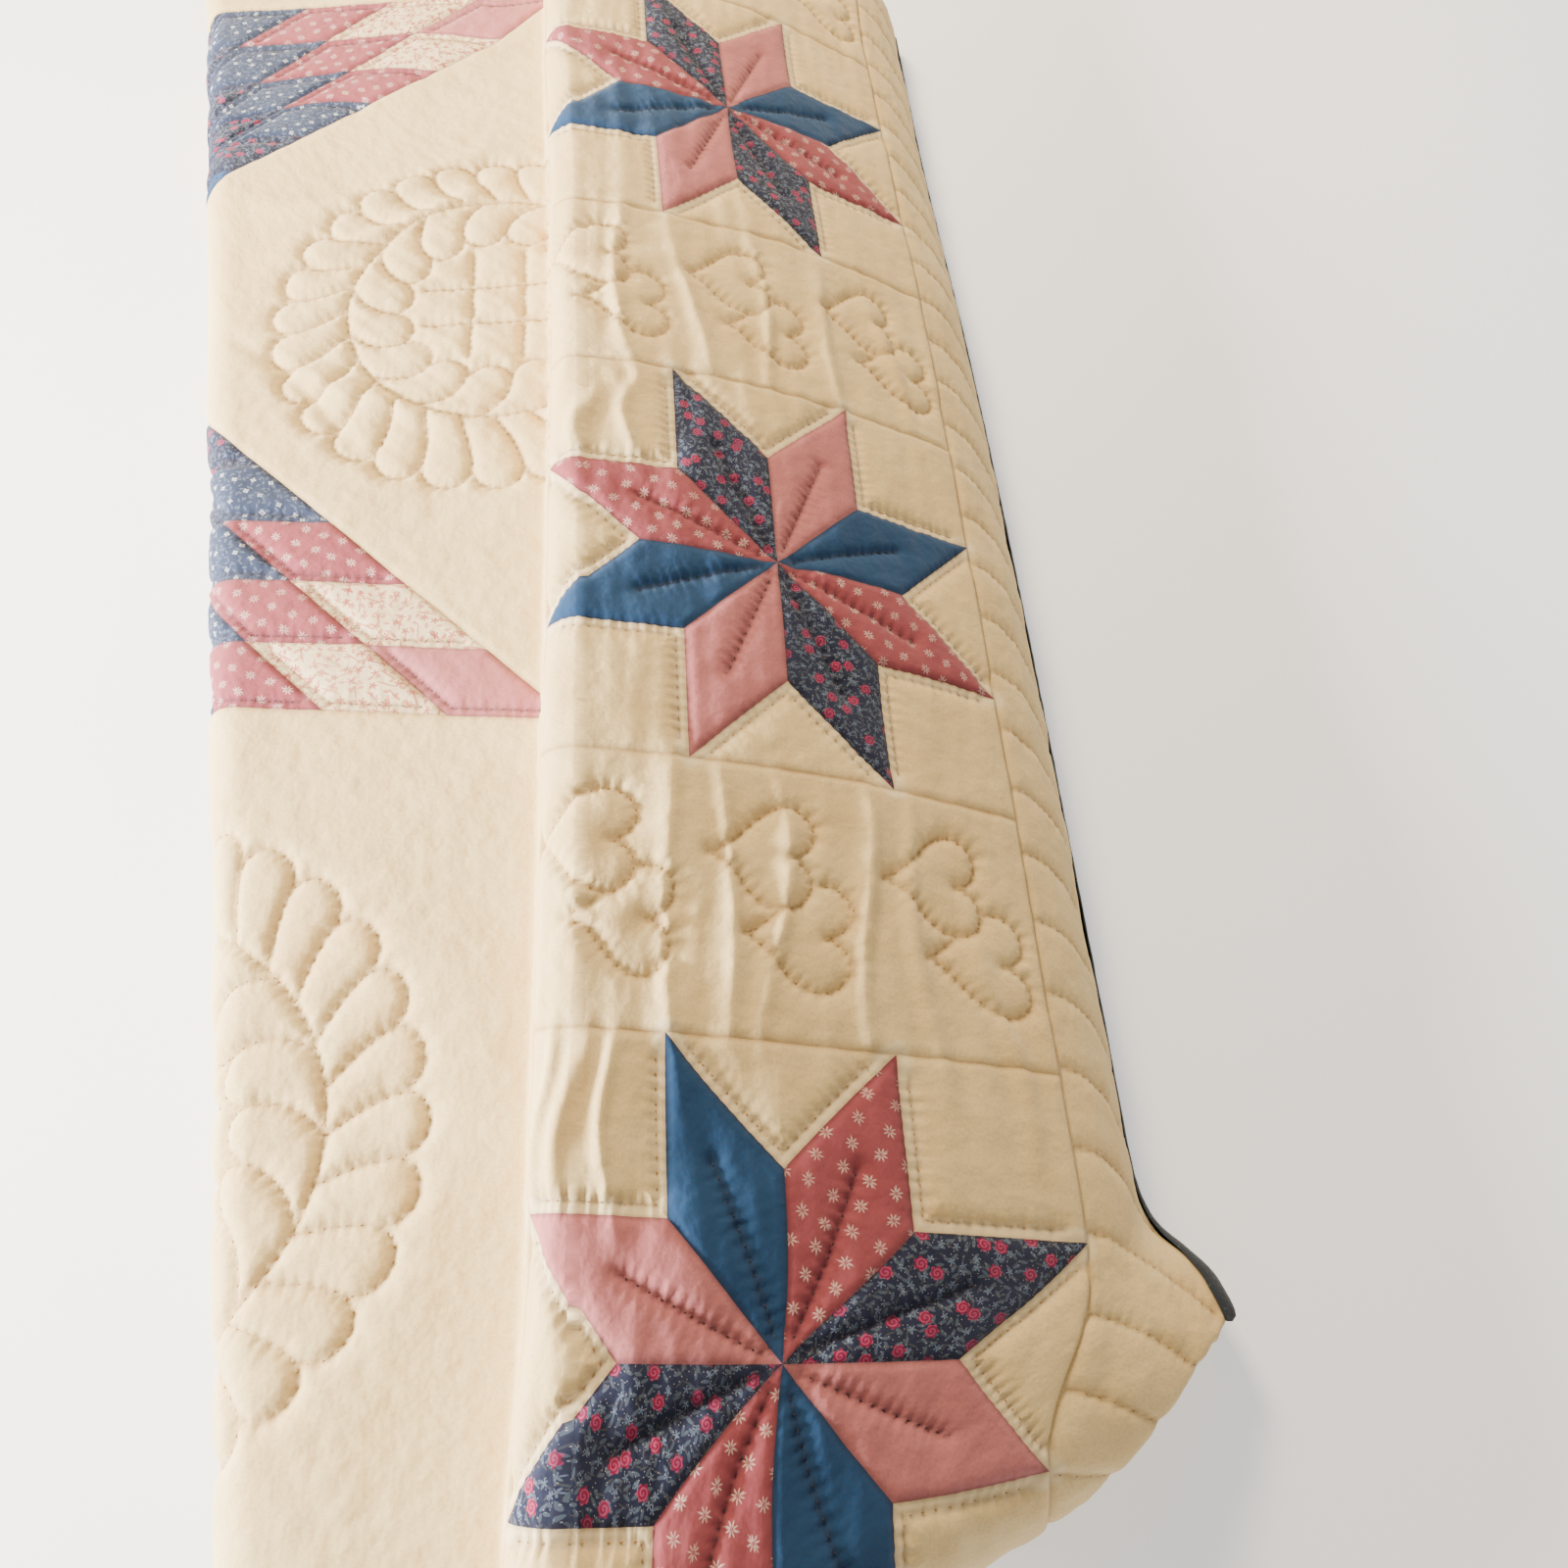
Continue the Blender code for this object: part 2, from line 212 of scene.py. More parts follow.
def left_turn(place, y):
    """The left fold at each place: its centre's X, radius, middle height, and run past its start."""
    x_flat = smooth_lookup(STRIP_EDGE, "y", "x", y) + FOOT_X + place - FIELD_START
    turn_x = LEFT_FOLD_X + LEFT_FOLD_SLOPE * y + LEFT_TURN_INSET
    field_mid = FIELD_Z - LAYER / 2
    next_mid = LAYERS[1][0] + LAYERS[1][1] * turn_x
    radius = 0.5 * (field_mid - next_mid) + LAYER / 2
    return x_flat, turn_x, radius, 0.5 * (field_mid + next_mid)


def bare_point(place, along):
    """Points on the upper face, before the ends are rounded."""
    bend = smooth_lookup(NOSE, "place", "bend_y", place)
    turned = np.maximum(0.0, bend - along) / NOSE_RADIUS
    quarter = np.minimum(turned, math.pi / 2)
    y = np.maximum(along, bend) - NOSE_RADIUS * np.sin(quarter)
    drop = NOSE_RADIUS * (1 - np.cos(quarter) + turned - quarter)
    edge = smooth_lookup(STRIP_EDGE, "y", "x", y)
    x_strip, z_strip = over_strip(place, y)

    top_turn = np.clip((STRIP_START - place) / STEP_TOP_RADIUS, 0.0, STEP_TURN)
    x_top = STEP_CENTRE_X - STEP_TOP_RADIUS * np.sin(top_turn)
    z_top = STEP_CENTRE_Z + STEP_TOP_RADIUS * np.cos(top_turn)

    foot_turn = np.clip((place - FIELD_START) / STEP_FOOT_RADIUS, 0.0, STEP_TURN)
    x_foot = FOOT_X + STEP_FOOT_RADIUS * np.sin(foot_turn)
    z_foot = FIELD_Z + STEP_FOOT_RADIUS * (1 - np.cos(foot_turn))

    x = np.where(place > STRIP_START, x_strip, np.where(place > STEP_ARC_END, x_top, x_foot))
    z = np.where(place > STRIP_START, z_strip, np.where(place > STEP_ARC_END, z_top, z_foot))
    x = edge + x

    x_flat, turn_x, radius, middle_z = left_turn(place, y)
    around = np.clip((turn_x - x_flat) / radius, 0.0, math.pi)
    past = np.maximum(0.0, (turn_x - x_flat) / radius - math.pi) * radius
    x_field = np.maximum(x_flat, turn_x) - radius * np.sin(around) + past
    z_field = middle_z + radius * np.cos(around)
    on_field = place < FIELD_START
    x = np.where(on_field, x_field, x)
    z = np.where(on_field, z_field, z)
    return np.stack([x, y, z - drop], axis=-1)


def unit(vectors):
    """Vectors of length one."""
    return vectors / np.maximum(np.linalg.norm(vectors, axis=-1, keepdims=True), 1e-12)


def lay(place, along, height, side=1):
    """Lay flat places on the folded cloth, a height above its upper face.

    A side of -1 gives the lower face of the same layer. Both faces roll to the middle of the
    layer at its front and back ends.
    """
    end = smooth_lookup(NOSE, "place", "end_y", place)
    kept = np.clip(along, end, BACK_Y)
    small = 0.0004
    here = bare_point(place, kept)
    across = bare_point(place + small, kept) - bare_point(place - small, kept)
    lengthwise = bare_point(place, kept + small) - bare_point(place, kept - small)
    normal = unit(np.cross(across, lengthwise))
    lengthwise = unit(lengthwise)
    half = layer_thickness(HEM_PLACE - place) / 2
    over = along - kept
    turn = np.clip(np.abs(over) / half, 0.0, math.pi / 2)
    way = lengthwise * np.sign(over)[:, None]
    level = side * np.cos(turn)
    middle = here - normal * half[:, None]
    rolled = middle + way * (half * np.sin(turn))[:, None] + normal * (half * level)[:, None]
    facing = unit(normal * level[:, None] + way * np.sin(turn)[:, None])
    return rolled + facing * height[:, None] + TO_ORIGIN, facing


# %% [markdown]
# ## Quilting lines
#
# The running stitches pull the layers together, so the cloth dips along every stitched line
# and puffs up between them. All the lines are drawn flat here, as chains of points, and are
# used twice: for the relief and for the stitches. The wreaths are rings of feathers, each a
# round headed comma that tucks behind the next.

# %% Sizes of the patchwork
BLOCK = STRIP_WIDTH                 # a star block is as wide as the strip
BLOCK_PITCH = 0.458                 # from one star to the next
STAR_SHEAR = 0.069                  # the strip is pulled a little out of square
FIRST_STAR = 0.0104
NOTCH = BLOCK * (1 - math.sqrt(0.5))
STAR_REACH = 2 * NOTCH * math.cos(math.radians(22.5))
DIAMOND = 0.075                     # a diamond of the large star
DIAMOND_ROWS = 7
LEFT_REACH = -0.470                 # how far left the top is cut, under the left fold
SLANT = DIAMOND * math.sqrt(0.5)
LOW_TIP = -0.107                    # the large star's two tips, along the strip's edge
HIGH_TIP = 0.628
OUTLINE = 0.007                     # from a seam to the stitches beside it
OUTLINE_CORNER = 1.08               # the outline lies a little further in at a patch's corner
OUTLINE_RUN = 0.80                  # how far it runs along a patch's side
VEIN_FROM = 0.012                   # a vein starts this far from the star's middle
VEIN_REACH = 0.60                   # and runs this far down its diamond

star_middles = [FIRST_STAR + BLOCK_PITCH * k for k in (-1, 0, 1)]
print("a block's notch lies", round(NOTCH * 1000), "mm from its middle")


def polar(centre, radius, degrees):
    """A flat point at a radius and an angle from a centre."""
    turn = math.radians(degrees)
    return (centre[0] + radius * math.cos(turn), centre[1] + radius * math.sin(turn))


def resample(points, spacing):
    """The same chain with evenly spaced points."""
    points = np.array(points, dtype=float)
    lengths = np.concatenate([[0.0], np.cumsum(np.linalg.norm(np.diff(points, axis=0), axis=1))])
    count = max(2, int(round(lengths[-1] / spacing)) + 1)
    at = np.linspace(0.0, lengths[-1], count)
    return np.stack([np.interp(at, lengths, points[:, 0]), np.interp(at, lengths, points[:, 1])], -1)


# %% Lines of a star block
def star_lines(centre):
    """Outline stitches in each background patch."""
    lines = []
    for k in range(8):
        start = np.array(polar(centre, NOTCH + OUTLINE * OUTLINE_CORNER, 45 * k))
        one = np.array(polar((0, 0), NOTCH * OUTLINE_RUN, 45 * k - 45))
        other = np.array(polar((0, 0), NOTCH * OUTLINE_RUN, 45 * k + 45))
        lines.append([tuple(start + one), tuple(start), tuple(start + other)])
    return lines


def star_veins(centre):
    """A stitched vein down each diamond."""
    turns = [45 * k + 22.5 for k in range(8)]
    return [[polar(centre, VEIN_FROM, turn), polar(centre, STAR_REACH * VEIN_REACH, turn)] for turn in turns]


# %% Lines of a plain block, which holds pairs of overlapping hearts
def heart(centre, size, turn):
    """One heart with its point towards the left."""
    points = []
    for step in range(49):
        u = 2 * math.pi * step / 48
        width = size * math.sin(u) ** 3 / 2
        height = 13 * math.cos(u) - 5 * math.cos(2 * u) - 2 * math.cos(3 * u) - math.cos(4 * u)
        height = size * height / 30
        points.append((centre[0] + height * math.cos(turn) - width * math.sin(turn),
                       centre[1] + height * math.sin(turn) + width * math.cos(turn)))
    return points


HEART_START = 0.036
HEART_PITCH = 0.102
HEART_SIZE = 0.062
HEART_TURN = 0.04
HEART_RISE = 0.024                  # from the block's middle to a first heart
HEART_STEP = (0.026, -0.044)        # from a first heart to the one tucked under it


def inside_of(point, outline):
    """Whether a point lies inside a closed outline."""
    crossings = 0
    for (a0, b0), (a1, b1) in zip(outline, outline[1:]):
        if (b0 > point[1]) != (b1 > point[1]):
            crossings += a0 + (point[1] - b0) * (a1 - a0) / (b1 - b0) > point[0]
    return crossings % 2 == 1


def heart_block_lines(middle):
    """Three pairs of hearts across a plain block. The second of each stops at the first."""
    lines = []
    for k in range(3):
        place = HEART_START + HEART_PITCH * k
        first = heart((place, middle + HEART_RISE), HEART_SIZE, HEART_TURN)
        lines.append(first)
        second = heart((place + HEART_STEP[0], middle + HEART_RISE + HEART_STEP[1]), HEART_SIZE, HEART_TURN)
        shown = [not inside_of(point, first) for point in second]
        cut_at = shown.index(False) if False in shown else 0
        rest = second[cut_at:-1] + second[:cut_at]
        lines.append([point for point in rest if not inside_of(point, first)])
    return lines


# %% Lines of a feather wreath
OUTER_FEATHERS = 28
INNER_FEATHERS = 15
FEATHER_POINTS = 37
GRID_PITCH = 0.038
GRID_REACH = 0.9                    # of the inner feathers' circle

# One feather, from the spine round its head to the side of the feather before it. "out" is a
# share of its length and "turn" a share of the step from one feather to the next.
PLUME = (
    ("step", "out", "turn"),
    (0, 0.00, 0.00),
    (1, 0.25, 0.32),
    (2, 0.50, 0.52),
    (3, 0.72, 0.60),
    (4, 0.89, 0.52),
    (5, 0.98, 0.33),
    (6, 1.00, 0.11),
    (7, 0.97, -0.10),
    (8, 0.88, -0.28),
    (9, 0.76, -0.38),
)


def feather_ring(centre, spine, reach, count, sag):
    """Feathers from a spine circle, outward if the reach is larger. The sag lengthens the front ones."""
    steps = np.linspace(0.0, PLUME[-1][0], FEATHER_POINTS)
    out = smooth_lookup(PLUME, "step", "out", steps)
    turn = smooth_lookup(PLUME, "step", "turn", steps)
    pitch = 360.0 / count
    lines = []
    for k in range(count):
        length = reach - sag * math.sin(math.radians(pitch * k)) - spine
        lines.append([polar(centre, spine + length * o, pitch * (k + t)) for o, t in zip(out, turn)])
    return lines


def circle(centre, radius):
    """A closed circle."""
    return [polar(centre, radius, degrees) for degrees in range(0, 365, 5)]


def wreath_lines(centre, spine, outer, inner, sag):
    """A feather wreath: a spine, outer and inner feathers, and a small grid in its middle."""
    lines = [circle(centre, spine)]
    lines += feather_ring(centre, spine, outer, OUTER_FEATHERS, sag)
    lines += feather_ring(centre, spine, inner, INNER_FEATHERS, 0.0)
    for k in (-0.5, 0.5):
        reach = math.sqrt((inner * GRID_REACH) ** 2 - (k * GRID_PITCH) ** 2)
        off = k * GRID_PITCH
        lines.append([(centre[0] + off, centre[1] - reach), (centre[0] + off, centre[1] + reach)])
        lines.append([(centre[0] - reach, centre[1] + off), (centre[0] + reach, centre[1] + off)])
    return lines


WREATHS = (
    ("place", "along", "spine", "outer", "inner", "sag"),
    (-0.055, 0.248, 0.110, 0.164, 0.064, 0.010),
    (-0.230, -0.340, 0.108, 0.161, 0.054, 0.0),
)


# %% Lines of the outer border and of the large star
HEM_LINE_PITCH = 0.044
HEM_LINE_CLEAR = 0.004              # from the seam, and from the hem
HEM_LINE_DROP = 0.040               # how far a line runs to the front on its way to the hem
HEM_LINE_BEND = 1.7
DIAMOND_COLUMNS = 6
DIAMOND_INSET = 0.76                # a diamond's stitches, as a share of its size
FOLD_CLEAR = 0.06                   # no stitches this near to the top's left end


def border_lines():
    """Lines from the strip's seam to the hem that curve towards the front."""
    lines = []
    start, run = STRIP_WIDTH + HEM_LINE_CLEAR, BORDER_WIDTH - 2 * HEM_LINE_CLEAR
    for along in np.arange(-0.60, 0.86, HEM_LINE_PITCH):
        shares = np.linspace(0.0, 1.0, 9)
        lines.append([(start + run * u, along - HEM_LINE_DROP * u ** HEM_LINE_BEND) for u in shares])
    return lines


def lattice(tip, side, i, j):
    """A corner in a point of the large star, i steps to the left and j along the slant.

    A side of 1 is the lower point, whose slanted edge rises to the left, and -1 the upper.
    """
    return (-i * DIAMOND - j * SLANT, tip + side * j * SLANT)


def large_star_lines(tip, side):
    """Stitches beside two seams of each diamond."""
    lines = []
    for i in range(DIAMOND_COLUMNS):
        for j in range(DIAMOND_ROWS):
            corners = [lattice(tip, side, i + di, j + dj) for di, dj in ((0, 0), (1, 0), (1, 1), (0, 1))]
            middle = np.mean(corners, axis=0)
            if middle[0] > LEFT_REACH + FOLD_CLEAR:
                inset = [tuple(middle + (np.array(corner) - middle) * DIAMOND_INSET) for corner in corners]
                lines.append(inset[:3])
    return lines


strip_lines = []
vein_lines = []
for middle in star_middles:
    strip_lines += star_lines((BLOCK / 2, middle))
    vein_lines += star_veins((BLOCK / 2, middle))
for middle in star_middles + [star_middles[-1] + BLOCK_PITCH]:
    strip_lines += heart_block_lines(middle - BLOCK_PITCH / 2)
diamond_lines = large_star_lines(LOW_TIP, 1) + large_star_lines(HIGH_TIP, -1)
field_lines = []
for place, along, spine, outer, inner, sag in WREATHS[1:]:
    field_lines += wreath_lines((place, along), spine, outer, inner, sag)
hem_lines = border_lines()
print(len(strip_lines), "lines on the strip,", len(field_lines), "in the wreaths,",
      len(hem_lines), "on the border")

# %% [markdown]
# ## Seams
#
# Patches are sewn edge to edge with the allowances pressed to one side, so a seam is a fine
# ditch with a slightly raised band beside it. Each seam is also where one printed cotton
# stops and the next begins.


# %% Seam lines
def block_seams(centre):
    """Seams of one star block, round the eight diamonds and the background patches."""
    seams = []
    notches = [polar(centre, NOTCH, 45 * k) for k in range(8)]
    for k in range(8):
        tip = polar(centre, STAR_REACH, 45 * k + 22.5)
        seams += [[centre, notches[k]], [notches[k], tip], [tip, notches[(k + 1) % 8]]]
    for k in (1, 3, 5, 7):
        corner = notches[k]
        outward = np.sign([corner[0] - centre[0], corner[1] - centre[1]])
        seams.append([corner, (centre[0] + outward[0] * BLOCK / 2, corner[1])])
        seams.append([corner, (corner[0], centre[1] + outward[1] * BLOCK / 2)])
    return seams


ROW_EDGES = sorted(middle + side * BLOCK / 2 for middle in star_middles for side in (-1, 1))
strip_seams = [[(0.0, edge), (BLOCK, edge)] for edge in ROW_EDGES]
for middle in star_middles:
    strip_seams += block_seams((BLOCK / 2, middle))
long_seams = [[(place, -0.70), (place, 0.90)] for place in (0.0, STRIP_WIDTH)]


def star_point_seams(tip, side):
    """Seams between the diamonds in one point of the large star."""
    seams = []
    for k in range(DIAMOND_ROWS + 1):
        seams.append([lattice(tip, side, 0, k), lattice(tip, side, 7, k)])
        seams.append([lattice(tip, side, k, 0), lattice(tip, side, k, DIAMOND_ROWS)])
    return seams


STAR_POINTS = ((LOW_TIP, 1, "star_point_low"), (HIGH_TIP, -1, "star_point_high"))
field_seams = [seam for tip, side, name in STAR_POINTS for seam in star_point_seams(tip, side)]
print(len(strip_seams) + len(long_seams) + len(field_seams), "seams")

# %% [markdown]
# ## Relief
#
# A tree of points finds how far any place is from the nearest stitched line and from the
# nearest seam. The height rises quickly beside a line and then levels off. A washed cotton
# quilt is also crinkled all over, more so close to the stitches, and a few long soft folds
# cross it where the photograph shows them.


# %% Distance, puff and crinkle
def tree_of(lines, spacing=0.0008):
    """A search tree over the points of some lines. A point's number tells how far along it is."""
    points = np.concatenate([resample(line, spacing) for line in lines])
    tree = kdtree.KDTree(len(points))
    for number, point in enumerate(points):
        tree.insert((point[0], point[1], 0.0), number)
    tree.balance()
    return tree


def distances(tree, place, flat):
    """Distance from each flat place to the tree's nearest point, and that point's number."""
    found = [tree.find((a, b, 0.0)) for a, b in zip(place, flat)]
    return np.array([hit[2] for hit in found]), np.array([hit[1] for hit in found])


# Long soft folds: two ends, the width and the height of each. Negative heights are troughs.
SOFT_FOLDS = (
    ("from_place", "from_flat", "to_place", "to_flat", "width", "height"),
    (-0.040, 0.420, -0.250, 0.330, 0.010, 0.0050),
    (-0.030, 0.390, -0.240, 0.285, 0.008, 0.0040),
    (-0.060, 0.110, -0.200, 0.200, 0.010, 0.0040),
    (-0.120, 0.090, -0.250, 0.230, 0.007, -0.0030),
    (0.050, 0.330, 0.062, 0.130, 0.006, 0.0045),
    (0.095, 0.330, 0.110, 0.140, 0.006, 0.0040),
    (0.150, 0.330, 0.160, 0.140, 0.006, 0.0045),
    (0.200, 0.320, 0.215, 0.130, 0.006, 0.0045),
    (0.250, 0.310, 0.262, 0.160, 0.006, 0.0040),
    (0.083, -0.110, 0.088, -0.360, 0.0055, 0.0035),
    (0.108, -0.120, 0.122, -0.310, 0.0050, 0.0040),
    (0.140, -0.130, 0.146, -0.310, 0.0060, 0.0045),
    (0.184, -0.120, 0.208, -0.330, 0.0055, 0.0055),
    (0.218, -0.130, 0.236, -0.330, 0.0050, 0.0045),
    (0.262, -0.200, 0.276, -0.360, 0.0060, 0.0040),
    (0.018, -0.290, 0.016, -0.390, 0.0050, 0.0035),
    (0.036, -0.290, 0.032, -0.400, 0.0055, 0.0040),
    (0.056, -0.290, 0.054, -0.400, 0.0050, 0.0040),
    (0.030, 0.140, 0.030, 0.070, 0.0060, 0.0035),
    (0.060, 0.150, 0.058, 0.070, 0.0055, 0.0035),
)


def soft_folds(place, flat):
    """Height of the listed long folds."""
    total = np.zeros_like(place)
    for a0, b0, a1, b1, width, height in SOFT_FOLDS[1:]:
        length = math.hypot(a1 - a0, b1 - b0)
        run = ((a1 - a0) / length, (b1 - b0) / length)
        s = ((place - a0) * run[0] + (flat - b0) * run[1]) / length
        bow = 0.006 * np.sin(5 * s + 40 * a0)
        off = (place - a0) * run[1] - (flat - b0) * run[0] + bow
        fade = np.clip(1 - (2 * s - 1) ** 2, 0.0, 1.0)
        total += height * fade * np.exp(-(off / width) ** 2)
    return total


def noise_at(place, flat, scale, seed):
    """Smooth noise between about -1 and 1."""
    return np.array([noise.noise(Vector((a * scale, b * scale, seed))) for a, b in zip(place, flat)])


PUFF_WIDTH = 0.0038
LINE_SOFT = 0.0010                  # rounds the foot of a stitched line, so that the grid can hold it
DITCH = 0.0014
DITCH_WIDTH = 0.0024
EDGE_SINK = 0.0030
PUCKER_POINTS = 8.5                 # tree points between two puckers, a little under 7 mm
PUCKER_REACH = 0.0070
CRINKLE = 0.0007
DRAG = 0.0014
SLANTED = 0.0010
SLANTED_REACH = 0.175
UNEVEN = 0.0022
BAND_SOFT = 0.0020
SHADE_REACH = 0.0015                # how far the painted shade beside a line or a seam spreads
WANDER = 2.5                        # how much the puckers' spacing wanders
COARSE_SHARE = 0.6
FINE_SHARE = 0.3
DRAG_STRETCH = (2.0, 0.35)
SLANTED_STRETCH = 0.12

# Lumps a metre and the seed of each noise
WANDER_NOISE = (40.0, 5.0)
COARSE_NOISE = (60.0, 3.0)
FINE_NOISE = (130.0, 9.0)
DRAG_NOISE = (38.0, 14.0)
SLANTED_NOISE = (95.0, 33.0)
UNEVEN_NOISE = (13.0, 21.0)


def relief(place, flat, line_tree, seam_tree, band_tree, puff_height, pucker_height):
    """Height above the folded form, the painted shade beside stitches and seams, and the raised band."""
    to_line, line_number = distances(line_tree, place, flat)
    to_seam = distances(seam_tree, place, flat)[0]
    to_band = distances(band_tree, place, flat)[0]
    wander = noise_at(place, flat, *WANDER_NOISE)
    pucker = np.sin(line_number * 2 * math.pi / PUCKER_POINTS + WANDER * wander)
    from_line = np.sqrt(to_line ** 2 + LINE_SOFT ** 2) - LINE_SOFT
    puff = puff_height * (1 - np.exp(-from_line / PUFF_WIDTH))
    height = puff - DITCH * np.exp(-(to_seam / DITCH_WIDTH) ** 2)
    height += pucker_height * pucker * np.exp(-(to_line / PUCKER_REACH) ** 2)
    coarse = noise_at(place, flat, *COARSE_NOISE) * COARSE_SHARE
    height += CRINKLE * (coarse + noise_at(place, flat, *FINE_NOISE) * FINE_SHARE)
    drag = noise_at(place * DRAG_STRETCH[0], flat * DRAG_STRETCH[1], *DRAG_NOISE)
    height += DRAG * drag * (place > 0)
    from_wreath = np.hypot(place - WREATHS[1][0], flat - WREATHS[1][1])
    streaks = noise_at(place + flat, (flat - place) * SLANTED_STRETCH, *SLANTED_NOISE)
    height += SLANTED * streaks * np.exp(-(from_wreath / SLANTED_REACH) ** 4) * (place < 0)
    height += UNEVEN * noise_at(place, flat, *UNEVEN_NOISE)
    height += soft_folds(place, flat)
    # Masks of the shade painted into the cloth's colour beside the stitched lines and the seams
    stitch_shade, seam_shade = (np.exp(-(distance / SHADE_REACH) ** 2) for distance in (to_line, to_seam))
    banded = np.clip((OUTLINE - to_band) / BAND_SOFT + 0.5, 0.0, 1.0)
    return height - EDGE_SINK, stitch_shade, seam_shade, banded


# %% [markdown]
# ## Shader expressions
#
# A node tree is easier to read as arithmetic. `Value` wraps a socket, so that adding or
# multiplying two values adds the Math node. `Finish` owns one material and makes every other
# node from its type, its settings and its sockets.


# %% Values and finishes
class Value:
    """A socket that can be used in plain expressions."""

    def __init__(self, finish, socket):
        self.finish = finish
        self.socket = socket

    def math(self, operation, first, second=0.0):
        return self.finish.node("ShaderNodeMath", {"operation": operation}, {0: first, 1: second})

    def __add__(self, other):
        return self.math("ADD", self, other)

    def __radd__(self, other):
        return self.math("ADD", other, self)

    def __sub__(self, other):
        return self.math("SUBTRACT", self, other)

    def __rsub__(self, other):
        return self.math("SUBTRACT", other, self)

    def __mul__(self, other):
        return self.math("MULTIPLY", self, other)

    def __rmul__(self, other):
        return self.math("MULTIPLY", other, self)

    def __truediv__(self, other):
        return self.math("DIVIDE", self, other)

    def __pow__(self, other):
        return self.math("POWER", self, other)

    def cos(self):
        return self.math("COSINE", self)

    def sin(self):
        return self.math("SINE", self)

    def clamp(self):
        return self.finish.node("ShaderNodeClamp", {}, {0: self})


def linear(red, green, blue):
    """A colour given as the eye names it, from 0 to 255, for a shader."""
    parts = [part / 255 for part in (red, green, blue)]
    return tuple(part / 12.92 if part < 0.04 else ((part + 0.055) / 1.055) ** 2.4 for part in parts) + (1.0,)


class Finish:
    """One material, its shader and its nodes."""

    def __init__(self, name):
        self.material = bpy.data.materials.new(name)
        self.material.use_nodes = True
        self.tree = self.material.node_tree
        self.shader = self.tree.nodes["Principled BSDF"]

    def put(self, target, value):
        if isinstance(value, Value):
            self.tree.links.new(value.socket, target)
        else:
            target.default_value = value

    def node(self, kind, settings, sockets, output=0):
        """A node of a kind, with its settings set first, then its sockets."""
        made = self.tree.nodes.new(kind)
        for name, setting in settings.items():
            setattr(made, name, setting)
        for name, value in sockets.items():
            self.put(made.inputs[name], value)
        return Value(self, made.outputs[output])

    def mix(self, share, one, other):
        """One colour, or the other where the share is 1."""
        sockets = {0: share, 6: one, 7: other}
        return self.node("ShaderNodeMix", {"data_type": "RGBA"}, sockets, 2)

    def noise(self, place, size, detail=2.0):
        """Noise from 0 to 1, with lumps of a size in metres."""
        sockets = {"Vector": place, "Scale": 1 / size, "Detail": detail}
        return self.node("ShaderNodeTexNoise", {}, sockets, "Fac")

    def parts(self, vector):
        """X and Y of a vector."""
        made = self.tree.nodes.new("ShaderNodeSeparateXYZ")
        self.put(made.inputs[0], vector)
        return Value(self, made.outputs[0]), Value(self, made.outputs[1])


# %% [markdown]
# ## Printed cottons
#
# The small prints are all one idea: `motifs` scatters places over the cloth, and gives at
# each point the way from the nearest of them and a few random numbers. Petals are a radius
# that waves with the angle, and leaves are turned ellipses. The print follows the cloth
# through its own flat map, in metres, and each patch has its grain turned.


# %% Scattered motifs
FULL_TURN = 6.28


def motifs(finish, flat, pitch, spread, shift):
    """Places scattered over the cloth: X, Y, distance, angle and a random number."""
    moved = finish.node("ShaderNodeVectorMath", {"operation": "ADD"}, {0: flat, 1: (shift, shift, 0.0)})
    cells = finish.tree.nodes.new("ShaderNodeTexVoronoi")
    cells.voronoi_dimensions = "2D"
    finish.put(cells.inputs["Vector"], moved)
    cells.inputs["Scale"].default_value = 1 / pitch
    cells.inputs["Randomness"].default_value = spread
    middle = Value(finish, cells.outputs["Position"])
    away = finish.node("ShaderNodeVectorMath", {"operation": "SUBTRACT"}, {0: moved, 1: middle})
    x, y = finish.parts(away)
    chance = finish.parts(Value(finish, cells.outputs["Color"]))[0]
    distance = (x * x + y * y) ** 0.5
    angle = distance.math("ARCTAN2", y, x) + chance * FULL_TURN
    return {"x": x, "y": y, "distance": distance, "angle": angle, "chance": chance}


def petals(motif, size, count, depth=0.35, soft=0.0005):
    """A flower of a few petals."""
    edge = size * (1 - depth) + (motif["angle"] * count).cos() * (size * depth)
    return ((edge - motif["distance"]) / soft).clamp()


def disc(motif, size, soft=0.0004):
    """A round dot."""
    return ((size - motif["distance"]) / soft).clamp()


def leaf(motif, length, width, turn=0.0):
    """A leaf through the middle, turned at random."""
    angle = motif["chance"] * FULL_TURN + turn
    across = motif["x"] * angle.cos() + motif["y"] * angle.sin()
    down = motif["y"] * angle.cos() - motif["x"] * angle.sin()
    shape = (across / length) ** 2.0 + (down / width) ** 2.0
    return ((1.0 - shape) * 3.0).clamp()


# %% Plain woven cotton, under every print
THREAD = 0.0007
CREAM = linear(246, 217, 158)
CREAM_SHADE = linear(234, 194, 130)
PALE_BAND = linear(254, 236, 196)
# Colours that the painted shade in the stitched lines and seams darkens towards
TAN_LINE_SHADE = linear(138, 94, 48)
DUSK_LINE_SHADE = linear(42, 34, 46)


